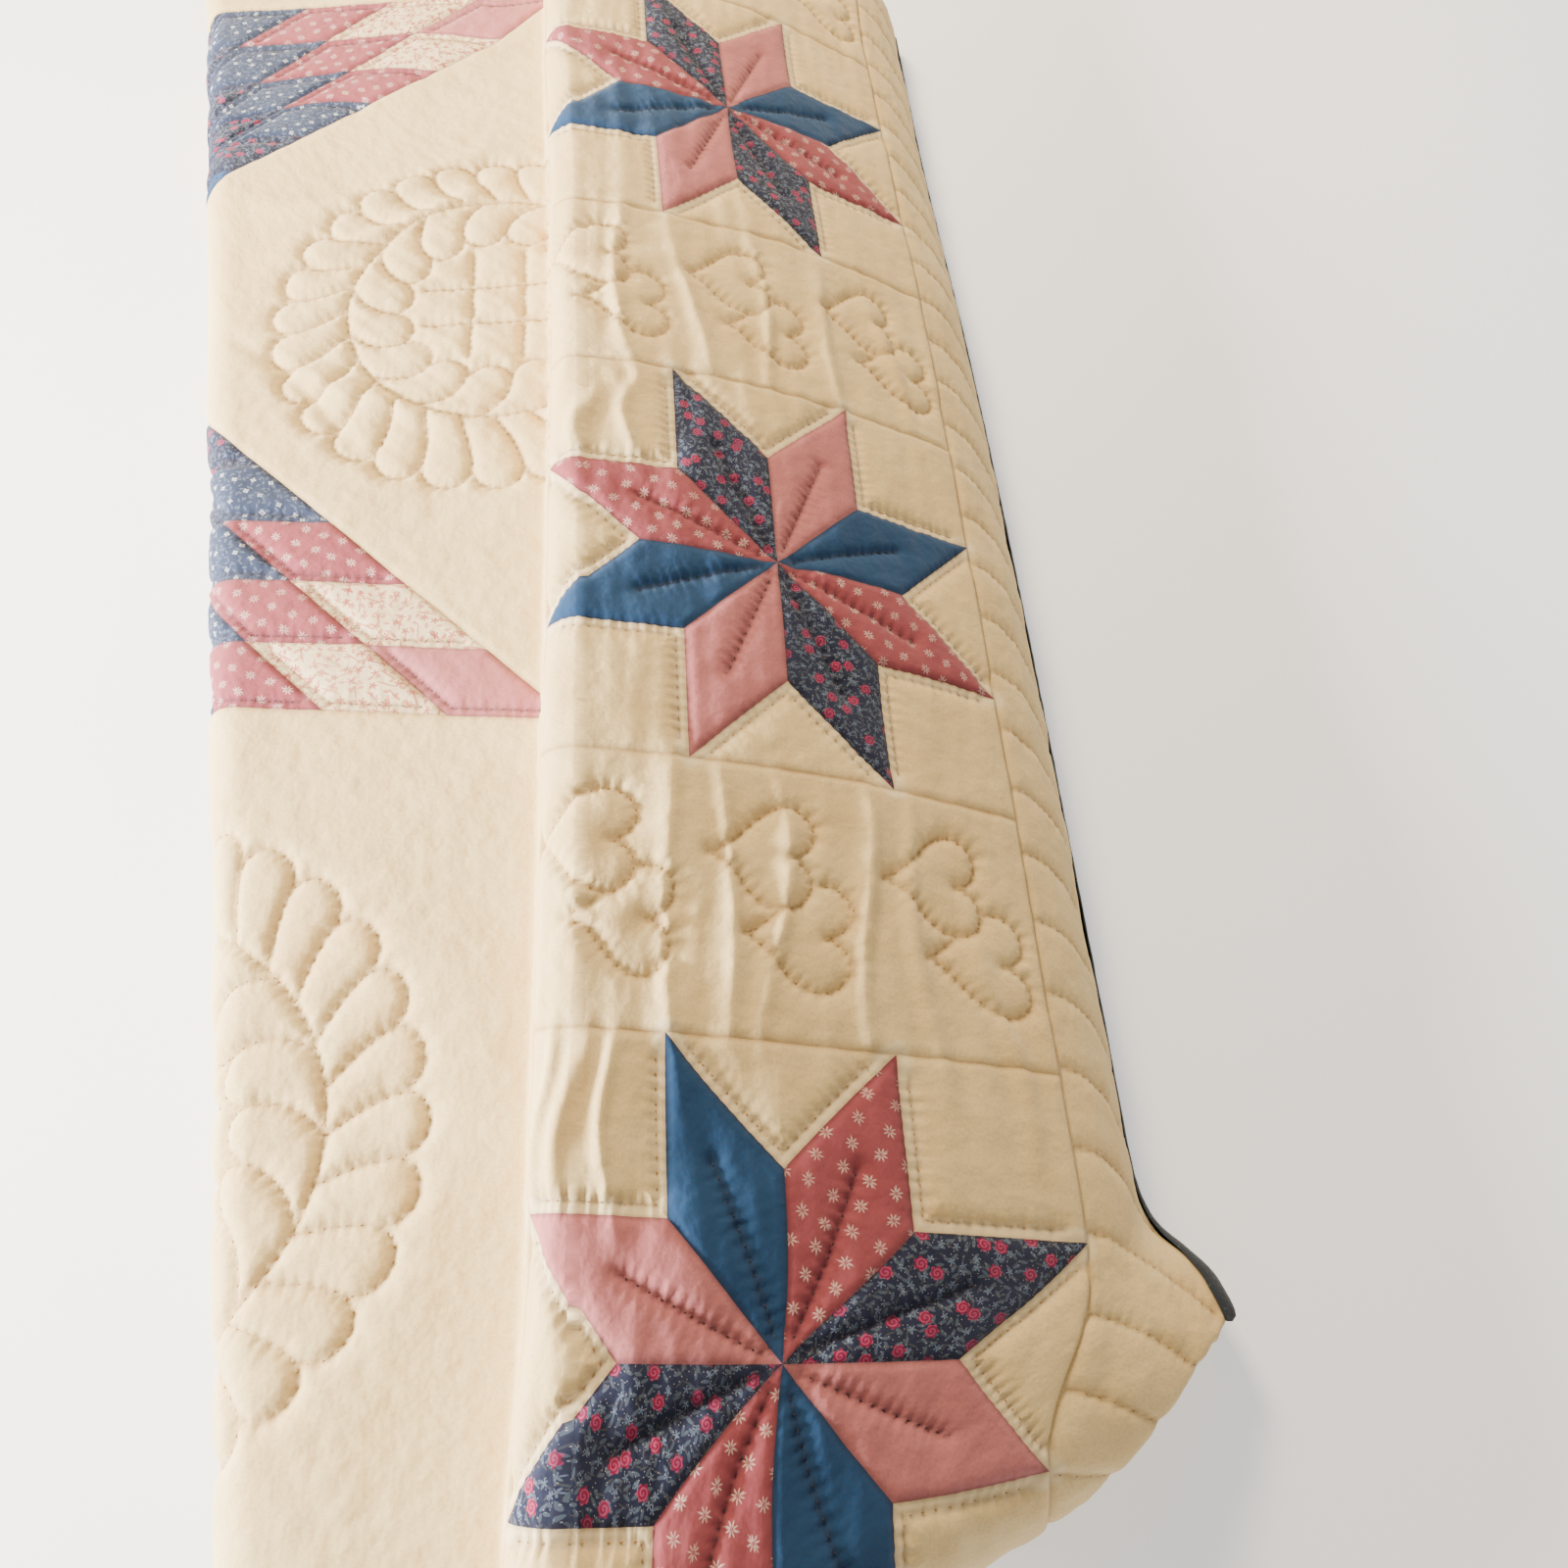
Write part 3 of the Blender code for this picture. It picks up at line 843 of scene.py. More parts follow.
def woven(finish, flat, colour, fade, line=DUSK_LINE_SHADE, band=0.0, bump=0.9):
    """Weave, slubs, soft fading, the pale band of a seam allowance, and painted shade in the stitched lines
    and seams, towards the line colour.
    """
    x, y = finish.parts(flat)
    turns = 2 * math.pi / THREAD
    weave = (x * turns).sin() * (y * turns).sin()
    slub = finish.noise(flat, 0.0016, 3.0)
    crease = finish.noise(flat, 0.0120, 2.0)
    broad = finish.noise(flat, 0.045, 2.0)
    worn = finish.mix(((broad - 0.35) * 1.8).clamp() * 0.6, colour, fade)
    grain = finish.mix(((slub - 0.5) * 0.5 + 0.04).clamp(), worn, linear(84, 62, 44))
    banded = finish.node("ShaderNodeAttribute", {"attribute_name": "banded"}, {}, "Fac")
    stitch_shade = finish.node("ShaderNodeAttribute", {"attribute_name": "stitch_shade"}, {}, "Fac")
    seam_shade = finish.node("ShaderNodeAttribute", {"attribute_name": "seam_shade"}, {}, "Fac")
    # Painted shade: the colour darkens towards the line colour beside the stitches and the seams
    shade = (stitch_shade * 0.48 + seam_shade * 0.45).clamp()
    allowance = finish.mix(banded * band, grain, PALE_BAND)
    finish.put(finish.shader.inputs["Base Color"], finish.mix(shade, allowance, line))
    finish.put(finish.shader.inputs["Roughness"], 0.93 - slub * 0.14)
    finish.shader.inputs["Sheen Weight"].default_value = 0.12
    finish.shader.inputs["Specular IOR Level"].default_value = 0.25
    height = weave * 0.00003 + slub * 0.00012 + crease * 0.0016
    sockets = {"Strength": bump, "Distance": 1.0, "Height": height}
    finish.put(finish.shader.inputs["Normal"], finish.node("ShaderNodeBump", {}, sockets))
    return finish.material


def flat_map(finish):
    """The piece's own flat map, in metres."""
    return finish.node("ShaderNodeUVMap", {"uv_map": "print"}, {})


# %% The cottons
def plain_cotton(name, colour, fade, line=DUSK_LINE_SHADE, band=0.0):
    """A cotton with no print."""
    finish = Finish(name)
    return woven(finish, flat_map(finish), colour, fade, line, band)


def pink_calico():
    """Pale sprays in rows on a dusty pink."""
    finish = Finish("pink_calico")
    flat = flat_map(finish)
    spray = motifs(finish, flat, 0.0138, 0.20, 0.2)
    flower = petals(spray, 0.0036, 8.0, 0.42)
    middle_dot = disc(spray, 0.0011)
    stem = leaf(spray, 0.0048, 0.0005, 0.9)
    ground = finish.mix(stem * 0.6, linear(160, 76, 86), linear(228, 192, 184))
    ground = finish.mix(flower * 0.85, ground, linear(238, 206, 196))
    ground = finish.mix(middle_dot * 0.8, ground, linear(160, 76, 86))
    return woven(finish, flat, ground, linear(172, 90, 96))


def rose_print():
    """Magenta roses, grey-blue leaves and white specks on navy."""
    finish = Finish("rose_print")
    flat = flat_map(finish)
    roses = motifs(finish, flat, 0.0165, 0.85, 0.4)
    bloom = petals(roses, 0.0040, 6.0, 0.12)
    ring = ((roses["distance"] * 3400.0 + roses["angle"]).sin() * 2.0).clamp()
    rose = finish.mix(ring * 0.65, linear(142, 20, 70), linear(194, 90, 126))
    leaves = leaf(motifs(finish, flat, 0.0050, 0.9, 0.1), 0.0024, 0.0009)
    more = leaf(motifs(finish, flat, 0.0062, 1.0, 0.6), 0.0028, 0.0005, 1.3)
    flowers = petals(motifs(finish, flat, 0.0088, 0.85, 1.3), 0.0022, 5.0, 0.40)
    specks = disc(motifs(finish, flat, 0.0036, 1.0, 0.9), 0.00036)
    ground = finish.mix(leaves * 0.58, linear(30, 38, 66), linear(100, 116, 134))
    ground = finish.mix(more * 0.50, ground, linear(92, 98, 96))
    ground = finish.mix(flowers * 0.75, ground, linear(122, 140, 168))
    ground = finish.mix(specks * 0.85, ground, linear(230, 230, 236))
    ground = finish.mix(bloom, ground, rose)
    return woven(finish, flat, ground, linear(46, 54, 82))


def navy_calico():
    """Small white blossoms and grey leaves on a slate blue."""
    finish = Finish("navy_calico")
    flat = flat_map(finish)
    blossom = motifs(finish, flat, 0.0130, 0.75, 0.3)
    white = petals(blossom, 0.0024, 4.0, 0.20)
    eye = disc(blossom, 0.0008)
    leaves = leaf(motifs(finish, flat, 0.0044, 1.0, 0.5), 0.0020, 0.0008)
    ground = finish.mix(leaves * 0.55, linear(48, 62, 92), linear(118, 132, 154))
    ground = finish.mix(white * 0.92, ground, linear(224, 226, 230))
    ground = finish.mix(eye, ground, linear(84, 98, 128))
    return woven(finish, flat, ground, linear(66, 80, 110))


def sprig_print():
    """Pink-red sprigs on cream."""
    finish = Finish("sprig_print")
    flat = flat_map(finish)
    stems = leaf(motifs(finish, flat, 0.0130, 0.6, 0.2), 0.0072, 0.0007)
    leaves = leaf(motifs(finish, flat, 0.0062, 0.9, 0.8), 0.0024, 0.0012)
    buds = petals(motifs(finish, flat, 0.0110, 0.8, 1.1), 0.0030, 5.0, 0.35)
    ground = finish.mix(stems * 0.8, linear(244, 222, 180), linear(190, 88, 80))
    ground = finish.mix(leaves * 0.75, ground, linear(204, 104, 94))
    ground = finish.mix(buds * 0.95, ground, linear(176, 62, 70))
    return woven(finish, flat, ground, linear(236, 206, 160), TAN_LINE_SHADE)


FABRICS = [
    plain_cotton("cream_cotton", CREAM, CREAM_SHADE, TAN_LINE_SHADE, 0.6),
    plain_cotton("pink_cotton", linear(196, 120, 122), linear(180, 102, 106)),
    plain_cotton("blue_cotton", linear(28, 68, 110), linear(40, 82, 124)),
    pink_calico(),
    rose_print(),
    navy_calico(),
    sprig_print(),
]
CREAM_F, PINK_F, BLUE_F, CALICO_F, ROSE_F, NAVY_F, SPRIG_F = range(len(FABRICS))
print("cottons:", [material.name for material in FABRICS])


def bound_cotton():
    """Dark cotton of the binding, on Object coordinates, because the kept solids have no map."""
    finish = Finish("dark_binding")
    place = finish.node("ShaderNodeTexCoord", {}, {}, "Object")
    specks = ((finish.noise(place, 0.0030, 2.0) - 0.62) * 9.0).clamp()
    ground = finish.mix(specks * 0.5, linear(38, 46, 58), linear(92, 118, 112))
    return woven(finish, place, ground, linear(58, 66, 78))


BINDING_COTTON = bound_cotton()

# %% [markdown]
# ## One sheet, cut on its seams
#
# The top could be drawn patch by patch, but then neighbours would not quite meet. Instead one
# flat grid is made for the whole top, and `bisect_plane` cuts it along every seam, so that
# each face lies in one patch. A face's middle then says which cotton it is.

# %% The flat grid, and cuts along the seams
GRID = 0.0021
FRONT_REACH = -0.665
BACK_REACH = BACK_Y + 0.042
SNAP = 0.0002


def flat_grid(spacing):
    """A grid over the whole flat top, with cells of about the given size."""
    low, high = (LEFT_REACH, FRONT_REACH), (HEM_PLACE, BACK_REACH)
    size = (high[0] - low[0], high[1] - low[1])
    cells = [int(round(side / spacing)) for side in size]
    sheet = bmesh.new()
    bmesh.ops.create_grid(sheet, x_segments=cells[0], y_segments=cells[1], size=0.5)
    bmesh.ops.scale(sheet, verts=sheet.verts, vec=(size[0], size[1], 1.0))
    middle = ((low[0] + high[0]) / 2, (low[1] + high[1]) / 2, 0.0)
    bmesh.ops.translate(sheet, verts=sheet.verts, vec=middle)
    return sheet


def cut(sheet, seams, inside):
    """Cut a sheet along straight seams, only in faces whose middle passes a test."""
    near = [face for face in sheet.faces if inside(face.calc_center_bounds())]
    for start, end in seams:
        near = [face for face in near if face.is_valid]
        edges = {edge for face in near for edge in face.edges}
        corners = {vertex for face in near for vertex in face.verts}
        across = Vector((end[1] - start[1], start[0] - end[0], 0.0)).normalized()
        made = bmesh.ops.bisect_plane(sheet, geom=near + list(edges) + list(corners), dist=SNAP,
                                      plane_co=(start[0], start[1], 0.0), plane_no=across)
        near = [item for item in made["geom"] if isinstance(item, bmesh.types.BMFace)]


def in_star_point(place, flat, tip, side):
    """How many diamonds left of the slanted edge, and how many along it, a place lies."""
    j = side * (flat - tip) / SLANT
    i = -place / DIAMOND - j * math.sqrt(0.5)
    return i, j


# %% [markdown]
# ## Which cotton each patch is
#
# In a star block the eight diamonds repeat four cottons, in one order in two of the blocks
# and in another in the third. In the large star the cottons lie in rings round its middle,
# so a diamond's ring is the sum of its two lattice steps.

# %% Patches
STAR_ORDER = (
    (ROSE_F, CALICO_F, BLUE_F, PINK_F),
    (BLUE_F, PINK_F, ROSE_F, CALICO_F),
    (BLUE_F, PINK_F, ROSE_F, CALICO_F),
)
RINGS = (PINK_F, SPRIG_F, CALICO_F, NAVY_F, ROSE_F, BLUE_F, ROSE_F, NAVY_F, CALICO_F, SPRIG_F,
         PINK_F, BLUE_F, ROSE_F, NAVY_F)
PIECES = ("star_block_front", "star_block_middle", "star_block_back", "heart_block_front",
          "heart_block_middle", "heart_block_back", "front_band", "outer_border",
          "star_point_low", "star_point_high", "wreath_triangle", "wreath_square",
          "corner_square")


def patch_at(place, flat):
    """Piece number, cotton and grain angle at a flat place."""
    if place > STRIP_WIDTH:
        return PIECES.index("outer_border"), CREAM_F, 0.0
    if place > 0:
        row = int(np.searchsorted(ROW_EDGES, flat))
        if row == 0:
            return PIECES.index("front_band"), ROSE_F, 0.0
        if row % 2 == 0:
            return 2 + row // 2, CREAM_F, 0.0
        block = row // 2
        x, y = place - BLOCK / 2, flat - star_middles[block]
        k = int(math.degrees(math.atan2(y, x)) % 360 // 45)
        one, other = polar((0, 0), NOTCH, 45 * k), polar((0, 0), NOTCH, 45 * k + 45)
        area = one[0] * other[1] - one[1] * other[0]
        i = (x * other[1] - y * other[0]) / area
        j = (one[0] * y - one[1] * x) / area
        if max(i, j) < 1:
            return block, STAR_ORDER[block][k % 4], 45 * k + 22.5
        return block, CREAM_F, 0.0
    for tip, side, name in STAR_POINTS:
        i, j = in_star_point(place, flat, tip, side)
        if i > 0 and j > 0:
            ring = min(int(i) + int(j), len(RINGS) - 1)
            return PIECES.index(name), RINGS[ring], 90.0 + side * 67.5
    if flat < LOW_TIP:
        return PIECES.index("wreath_square"), CREAM_F, 0.0
    name = "corner_square" if flat > HIGH_TIP else "wreath_triangle"
    return PIECES.index(name), CREAM_F, 0.0


# %% The pull of the real cloth, which is a little out of square
LOW_RISE = 0.115
LOW_FADE = 0.200
HIGH_RISE = 0.280
HIGH_DIP = 0.026
HIGH_EASE = 0.060
HIGH_FADE = 0.090
FRONT_PULL = 0.022                  # the front star lies this far to the left
FRONT_PULL_FROM = (-0.14, -0.30)
CORNER_PULL = 0.040                 # the front right corner is drawn in to the left and back
CORNER_RISE = 0.022
CORNER_PULL_FROM = (-0.39, -0.51)
LEFT_TUCK = 0.004


def eased(flat, limits):
    """From 0 at the first limit to 1 at the second."""
    share = np.clip((flat - limits[0]) / (limits[1] - limits[0]), 0.0, 1.0)
    return share * share * (3 - 2 * share)


def folded_at(place, flat):
    """Where a flat place lies across and along the folds."""
    left = np.maximum(-place, 1e-6)
    above = np.clip(1 - (flat - LOW_TIP) / left, 0.0, 1.0)
    below = np.clip(1 - (LOW_TIP - flat) / LOW_FADE, 0.0, 1.0)
    low = LOW_RISE * left * np.where(flat > LOW_TIP, above, below)
    off = (flat - HIGH_TIP - place) / HIGH_FADE
    high = HIGH_RISE * left - HIGH_DIP * np.clip(left / HIGH_EASE, 0.0, 1.0)
    pulled = low + high * np.exp(-off ** 2)
    over_block = np.clip(place / STRIP_WIDTH, 0.0, 1.0)
    over_border = np.clip((place - STRIP_WIDTH) / BORDER_WIDTH, 0.0, 1.0)
    corner = over_block ** 2 * (1 - over_border) * eased(flat, CORNER_PULL_FROM)
    across = place - FRONT_PULL * np.sin(math.pi * over_block) * eased(flat, FRONT_PULL_FROM)
    along = flat - STAR_SHEAR * np.clip(place, 0.0, STRIP_WIDTH) + np.where(place < 0, pulled, 0.0)
    return across - CORNER_PULL * corner, along + CORNER_RISE * corner


def past_ends(place, flat):
    """How far a flat place lies past the cloth's ends, or past the left fold."""
    across, along = folded_at(place, flat)
    end = smooth_lookup(NOSE, "place", "end_y", across)
    roll = layer_thickness(HEM_PLACE - across) * math.pi / 4
    over = np.maximum(end - along, along - BACK_Y) - roll
    x_flat, turn_x, radius, middle_z = left_turn(across, np.clip(along, end, BACK_Y))
    return np.maximum(over, turn_x - x_flat - math.pi * radius - LEFT_TUCK)


# %% Cut the top and drop what lies past its ends
def flat_places(mesh):
    """The flat places of a bmesh's or a mesh's vertices."""
    return np.array([vertex.co[:] for vertex in mesh])[:, :2].T


def drop_past(sheet):
    """Drop the faces that lie past the cloth's ends, and say how many."""
    past = past_ends(*flat_places(sheet.verts))
    sheet.verts.index_update()
    lost = [face for face in sheet.faces if min(past[vertex.index] for vertex in face.verts) > 0]
    bmesh.ops.delete(sheet, geom=lost, context="FACES")
    return len(lost)


sheet = flat_grid(GRID)
cut(sheet, long_seams, lambda at: min(abs(at.x), abs(at.x - STRIP_WIDTH)) < 2 * GRID)
for middle in star_middles:
    edges = [[(0.0, middle + side * BLOCK / 2), (BLOCK, middle + side * BLOCK / 2)] for side in (-1, 1)]
    cut(sheet, edges + block_seams((BLOCK / 2, middle)),
        lambda at: 0 < at.x < BLOCK and abs(at.y - middle) < BLOCK / 2 + GRID)
for tip, side, name in STAR_POINTS:
    cut(sheet, star_point_seams(tip, side),
        lambda at: at.x < 0 and min(in_star_point(at.x, at.y, tip, side)) > -0.12)
dropped = drop_past(sheet)
print("the cut top has", len(sheet.faces), "faces, after", dropped, "were dropped")


# %% [markdown]
# ## Lay the top and split it
#
# Every point gets its relief and is laid on the folds at once. The flat map is written first,
# turned patch by patch. Then the top is split on real seams into the pieces that a quilter
# would name, which also gives each piece its own share of detail when it is exported.

# %% Relief of the whole top
trees = {}
star_edges = [seam for middle in star_middles for seam in block_seams((BLOCK / 2, middle))]
for region, lines, seams, puff_height, pucker_height in (
        ("strip", strip_lines + vein_lines, strip_seams + long_seams, 0.0036, 0.0007),
        ("field", field_lines + diamond_lines, field_seams + long_seams, 0.0036, 0.0004),
        ("border", hem_lines, long_seams, 0.0022, 0.0004)):
    trees[region] = (tree_of(lines), tree_of(seams), tree_of(star_edges), puff_height, pucker_height)


def region_relief(place, flat):
    """Relief at flat places, with the lines of the region that each lies in."""
    result = np.zeros((4, len(place)))
    regions = (("strip", (place >= 0) & (place <= STRIP_WIDTH)), ("field", place < 0),
               ("border", place > STRIP_WIDTH))
    for region, inside in regions:
        if inside.any():
            result[:, inside] = relief(place[inside], flat[inside], *trees[region])
    return result


top_mesh = bpy.data.meshes.new("quilt_top")
sheet.to_mesh(top_mesh)
sheet.free()
place, flat = flat_places(top_mesh.vertices)
height, stitch_shade, seam_shade, banded = region_relief(place, flat)
# The masks of painted shade, and the band, go on the mesh for the cottons
for name, values in (("stitch_shade", stitch_shade), ("seam_shade", seam_shade), ("banded", banded)):
    top_mesh.attributes.new(name, "FLOAT", "POINT").data.foreach_set("value", values.astype(np.float32))
print("relief runs from", round(height.min() * 1000, 1), "to", round(height.max() * 1000, 1), "mm")

# %% Cotton, piece and flat map of every face
patches = [patch_at(face.center.x, face.center.y) for face in top_mesh.polygons]
piece_of = np.array([patch[0] for patch in patches])
fabric_of = np.array([patch[1] for patch in patches], dtype=np.int32)
grain_of = np.radians([patch[2] for patch in patches])
flat_areas = np.array([face.area for face in top_mesh.polygons])
corner_counts = np.array([face.loop_total for face in top_mesh.polygons])
corner_vertex = np.array([loop.vertex_index for loop in top_mesh.loops])
face_grain = np.repeat(grain_of, corner_counts)
u, v = place[corner_vertex], flat[corner_vertex]
turned = np.stack([u * np.cos(face_grain) + v * np.sin(face_grain),
                   v * np.cos(face_grain) - u * np.sin(face_grain)], axis=-1)
turned += 0.37 * face_grain[:, None]
top_mesh.uv_layers.new(name="print").data.foreach_set("uv", turned.astype(np.float32).ravel())
top_mesh.polygons.foreach_set("material_index", fabric_of)
laid = lay(*folded_at(place, flat), height)[0]
top_mesh.vertices.foreach_set("co", laid.astype(np.float32).ravel())
top_mesh.update()


# %% Split into pieces
def show(mesh, name):
    """A finished mesh as a piece of the scene."""
    mesh.shade_smooth()
    piece = bpy.data.objects.new(name, mesh)
    bpy.context.scene.collection.objects.link(piece)
    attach(piece, "root")
    return piece


def split_off(name):
    """One piece of the top, with only its own cottons."""
    number = PIECES.index(name)
    own = bmesh.new()
    own.from_mesh(top_mesh)
    own.faces.ensure_lookup_table()
    others = [own.faces[k] for k in np.nonzero(piece_of != number)[0]]
    bmesh.ops.delete(own, geom=others, context="FACES")
    used = sorted(set(fabric_of[piece_of == number]))
    for face in own.faces:
        face.material_index = used.index(face.material_index)
    mesh = bpy.data.meshes.new(name)
    own.to_mesh(mesh)
    own.free()
    for fabric in used:
        mesh.materials.append(FABRICS[fabric])
    piece = show(mesh, name)
    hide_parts("quilt")
    area = float(flat_areas[piece_of == number].sum())


for name in PIECES:
    split_off(name)
bpy.data.meshes.remove(top_mesh)

# %% [markdown]
# ## The lower face and the hidden layers
#
# Each layer of the pile is the quilt folded in two, so it has an upper and a lower ply that
# meet in a rounded fold at the front and at the back. The top layer's lower ply follows the
# same map with its side turned over. The hidden layers follow a middle line that runs back
# and forth, and two plies lie on either side of it.

# %% Lower ply of the top layer
UNDER_GRID = 0.007
UNDER_SQUARES = 0.055
UNDER_PUFF = 0.0024
UNDER_PUFF_WIDTH = 0.010
UNDER_SHADE_REACH = 0.003
BROAD_NOISE = (11.0, 40.0)
SMALL_NOISE = (45.0, 41.0)


def plain_relief(place, flat, sink):
    """A plain quilted grid: height, and the mask of painted shade beside its lines."""
    slants = (place + flat, place - flat)
    off = [np.abs((slant / UNDER_SQUARES) % 1.0 - 0.5) * UNDER_SQUARES for slant in slants]
    near = UNDER_SQUARES / 2 - np.maximum(*off)
    uneven = noise_at(place, flat, *BROAD_NOISE) * 0.0014 + noise_at(place, flat, *SMALL_NOISE) * 0.0007
    height = UNDER_PUFF * (1 - np.exp(-(near / UNDER_PUFF_WIDTH) ** 1.3)) + uneven - sink
    return height, np.exp(-(near / UNDER_SHADE_REACH) ** 2)


def finish_ply(mesh, name, flat_points, line_shade, flat_size):
    """Give a plain ply its map, its attributes and its finish."""
    # The painted shade beside the quilted lines, and none for seams
    for attribute, values in (("stitch_shade", line_shade), ("seam_shade", np.zeros_like(line_shade))):
        made = mesh.attributes.new(attribute, "FLOAT", "POINT")
        made.data.foreach_set("value", values.astype(np.float32))
    corners = np.array([loop.vertex_index for loop in mesh.loops])
    mesh.uv_layers.new(name="print").data.foreach_set("uv", flat_points[corners].astype(np.float32).ravel())
    mesh.materials.append(FABRICS[CREAM_F])
    piece = show(mesh, name)
    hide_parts("quilt")
    print(name, len(mesh.polygons), "faces,", [round(value, 3) for value in flat_size[:2]], "m flat")


under = flat_grid(UNDER_GRID)
drop_past(under)
bmesh.ops.reverse_faces(under, faces=under.faces)
under_mesh = bpy.data.meshes.new("top_lower_ply")
under.to_mesh(under_mesh)
under.free()
place, flat = flat_places(under_mesh.vertices)
under_area = float(sum(face.area for face in under_mesh.polygons))
height, near = plain_relief(place, flat, 0.0022)
laid = lay(*folded_at(place, flat), height, side=-1)[0]
under_mesh.vertices.foreach_set("co", laid.astype(np.float32).ravel())
under_size = (HEM_PLACE - float(place.min()), float(flat.max() - flat.min()), under_area)
finish_ply(under_mesh, "top_lower_ply", np.stack([place, flat], -1), near, under_size)

# %% Middle line of the hidden layers
RUN_STEPS = 40
TURN_STEPS = 12
PILE_ROWS = 120
ROLL_STEPS = 5
HIDDEN_FRONT_Y = -0.540
HIDDEN_FRONT_STEP = 0.045
HIDDEN_FRONT_X = 0.050
HIDDEN_FRONT_RUN = 0.240
HIDDEN_BACK_STEP = 0.015


def pile_line(y):
    """Middle line at one Y as X and Z, and how far each point lies from the inner end."""
    fold_x = LEFT_FOLD_X + LEFT_FOLD_SLOPE * y
    level_x = fold_x + LEFT_TURN_INSET
    points = []
    for number, (z0, slope, turn, fold) in enumerate(LAYERS[1:], start=1):
        stop = {"right": fold - RIGHT_TURN_INSET, "left": fold_x + fold + LEFT_TURN_INSET,
                "end": fold_x + fold}[turn]
        points += [(x, z0 + slope * x) for x in np.linspace(level_x, stop, RUN_STEPS + 1)]
        if turn != "end":
            here = z0 + slope * stop
            below = LAYERS[number + 1][0] + LAYERS[number + 1][1] * stop
            outward = 1 if turn == "right" else -1
            for angle in np.linspace(0, math.pi, TURN_STEPS + 1)[1:-1]:
                points.append((stop + outward * (here - below) / 2 * math.sin(angle),
                               (here + below) / 2 + (here - below) / 2 * math.cos(angle)))
        level_x = stop
    points = np.array(points)
    from_end = np.concatenate([[0.0], np.cumsum(np.linalg.norm(np.diff(points[::-1], axis=0), axis=1))])
    return np.column_stack([points, from_end[::-1]])


sample_y = np.linspace(-0.60, 0.80, 15)
samples = np.array([pile_line(y) for y in sample_y])
columns = samples.shape[1]
middle_row = pile_line(0.0)
inward = np.clip((middle_row[:, 0] - HIDDEN_FRONT_X) / HIDDEN_FRONT_RUN, 0.0, 1.0)
front_y = HIDDEN_FRONT_Y + HIDDEN_FRONT_STEP * inward
back_y = BACK_Y - HIDDEN_BACK_STEP
roll = np.linspace(math.pi / 2, 0, ROLL_STEPS + 1)[:-1]
shares = np.concatenate([np.zeros(ROLL_STEPS), np.linspace(0, 1, PILE_ROWS), np.ones(ROLL_STEPS)])
turns = np.concatenate([roll, np.zeros(PILE_ROWS), roll[::-1]])
ends = np.concatenate([np.ones(ROLL_STEPS), np.zeros(PILE_ROWS), -np.ones(ROLL_STEPS)])
print("the hidden layers have", columns, "columns and", len(shares), "rows")


# %% Two plies on the middle line
def pile_ply(name, side):
    """One ply of the hidden layers. Side 1 is the ply that the top layer's upper face runs on to."""
    y = back_y + (front_y[:, None] - back_y) * shares[None, :]
    middle = np.zeros((columns, len(shares), 3))
    from_end = np.zeros((columns, len(shares)))
    for k in range(columns):
        middle[k, :, 0] = np.interp(y[k], sample_y, samples[:, k, 0])
        middle[k, :, 1] = y[k]
        middle[k, :, 2] = np.interp(y[k], sample_y, samples[:, k, 1])
        from_end[k] = np.interp(y[k], sample_y, samples[:, k, 2])
    tangent = unit(np.gradient(middle, axis=0))
    normal = unit(np.stack([tangent[..., 2], np.zeros_like(y), -tangent[..., 0]], axis=-1))
    half = layer_thickness(from_end)[..., None] / 2
    run = (from_end[0, 0] - from_end).ravel()
    height, near = plain_relief(run, y.ravel(), 0.0020)
    height = np.minimum(height, 0.0004).reshape(y.shape)[..., None]
    way = np.array([0.0, 1.0, 0.0]) * ends[None, :, None]
    level = side * np.cos(turns)[None, :, None]
    facing = normal * level + way * np.sin(turns)[None, :, None]
    points = middle + facing * (half + height) + TO_ORIGIN
    points[..., 2] = np.maximum(points[..., 2], 0.0)
    ply = bmesh.new()
    bmesh.ops.create_grid(ply, x_segments=columns - 1, y_segments=len(shares) - 1, size=0.5)
    if side < 0:
        bmesh.ops.reverse_faces(ply, faces=ply.faces)
    flat_points = np.zeros((len(ply.verts), 2))
    order = np.zeros(len(ply.verts), dtype=int)
    for vertex in ply.verts:
        i = int(round((vertex.co.x + 0.5) * (columns - 1)))
        j = int(round((vertex.co.y + 0.5) * (len(shares) - 1)))
        vertex.co = points[i, j]
        order[vertex.index] = i * len(shares) + j
        flat_points[vertex.index] = (run[order[vertex.index]], y[i, j])
    mesh = bpy.data.meshes.new(name)
    ply.to_mesh(mesh)
    ply.free()
    length = BACK_Y - HIDDEN_BACK_STEP - HIDDEN_FRONT_Y + LAYER * math.pi / 2
    width = float(from_end.max())
    finish_ply(mesh, name, flat_points, near[order], (width, length, None))


pile_ply("pile_outer", 1)
pile_ply("pile_inner", -1)

# %% [markdown]
# ## Bindings
#
# The two plies' hems are bound with a narrow strip of dark cotton, folded over the edge. It
# shows at the front right corner, where the border flares out. Each is a soft half round
# that is laid along the hem, a little uneven, as hand sewn binding is. The bindings of the
# inner end are hidden in the pile, so there the solids stay and only get the cotton.

# %% Hem bindings
BINDING_PROFILE = (
    ("out", "share", "lift"),
    (-0.0035, 1.00, 0.0002),
    (-0.0020, 1.00, 0.0012),
    (0.0000, 1.00, 0.0016),
    (0.0040, 1.00, 0.0016),
    (0.0075, 0.94, 0.0010),
    (0.0096, 0.70, 0.0006),
    (0.0106, 0.38, 0.0002),
    (0.0104, 0.05, 0.0000),
)
BINDING_ROWS = 420


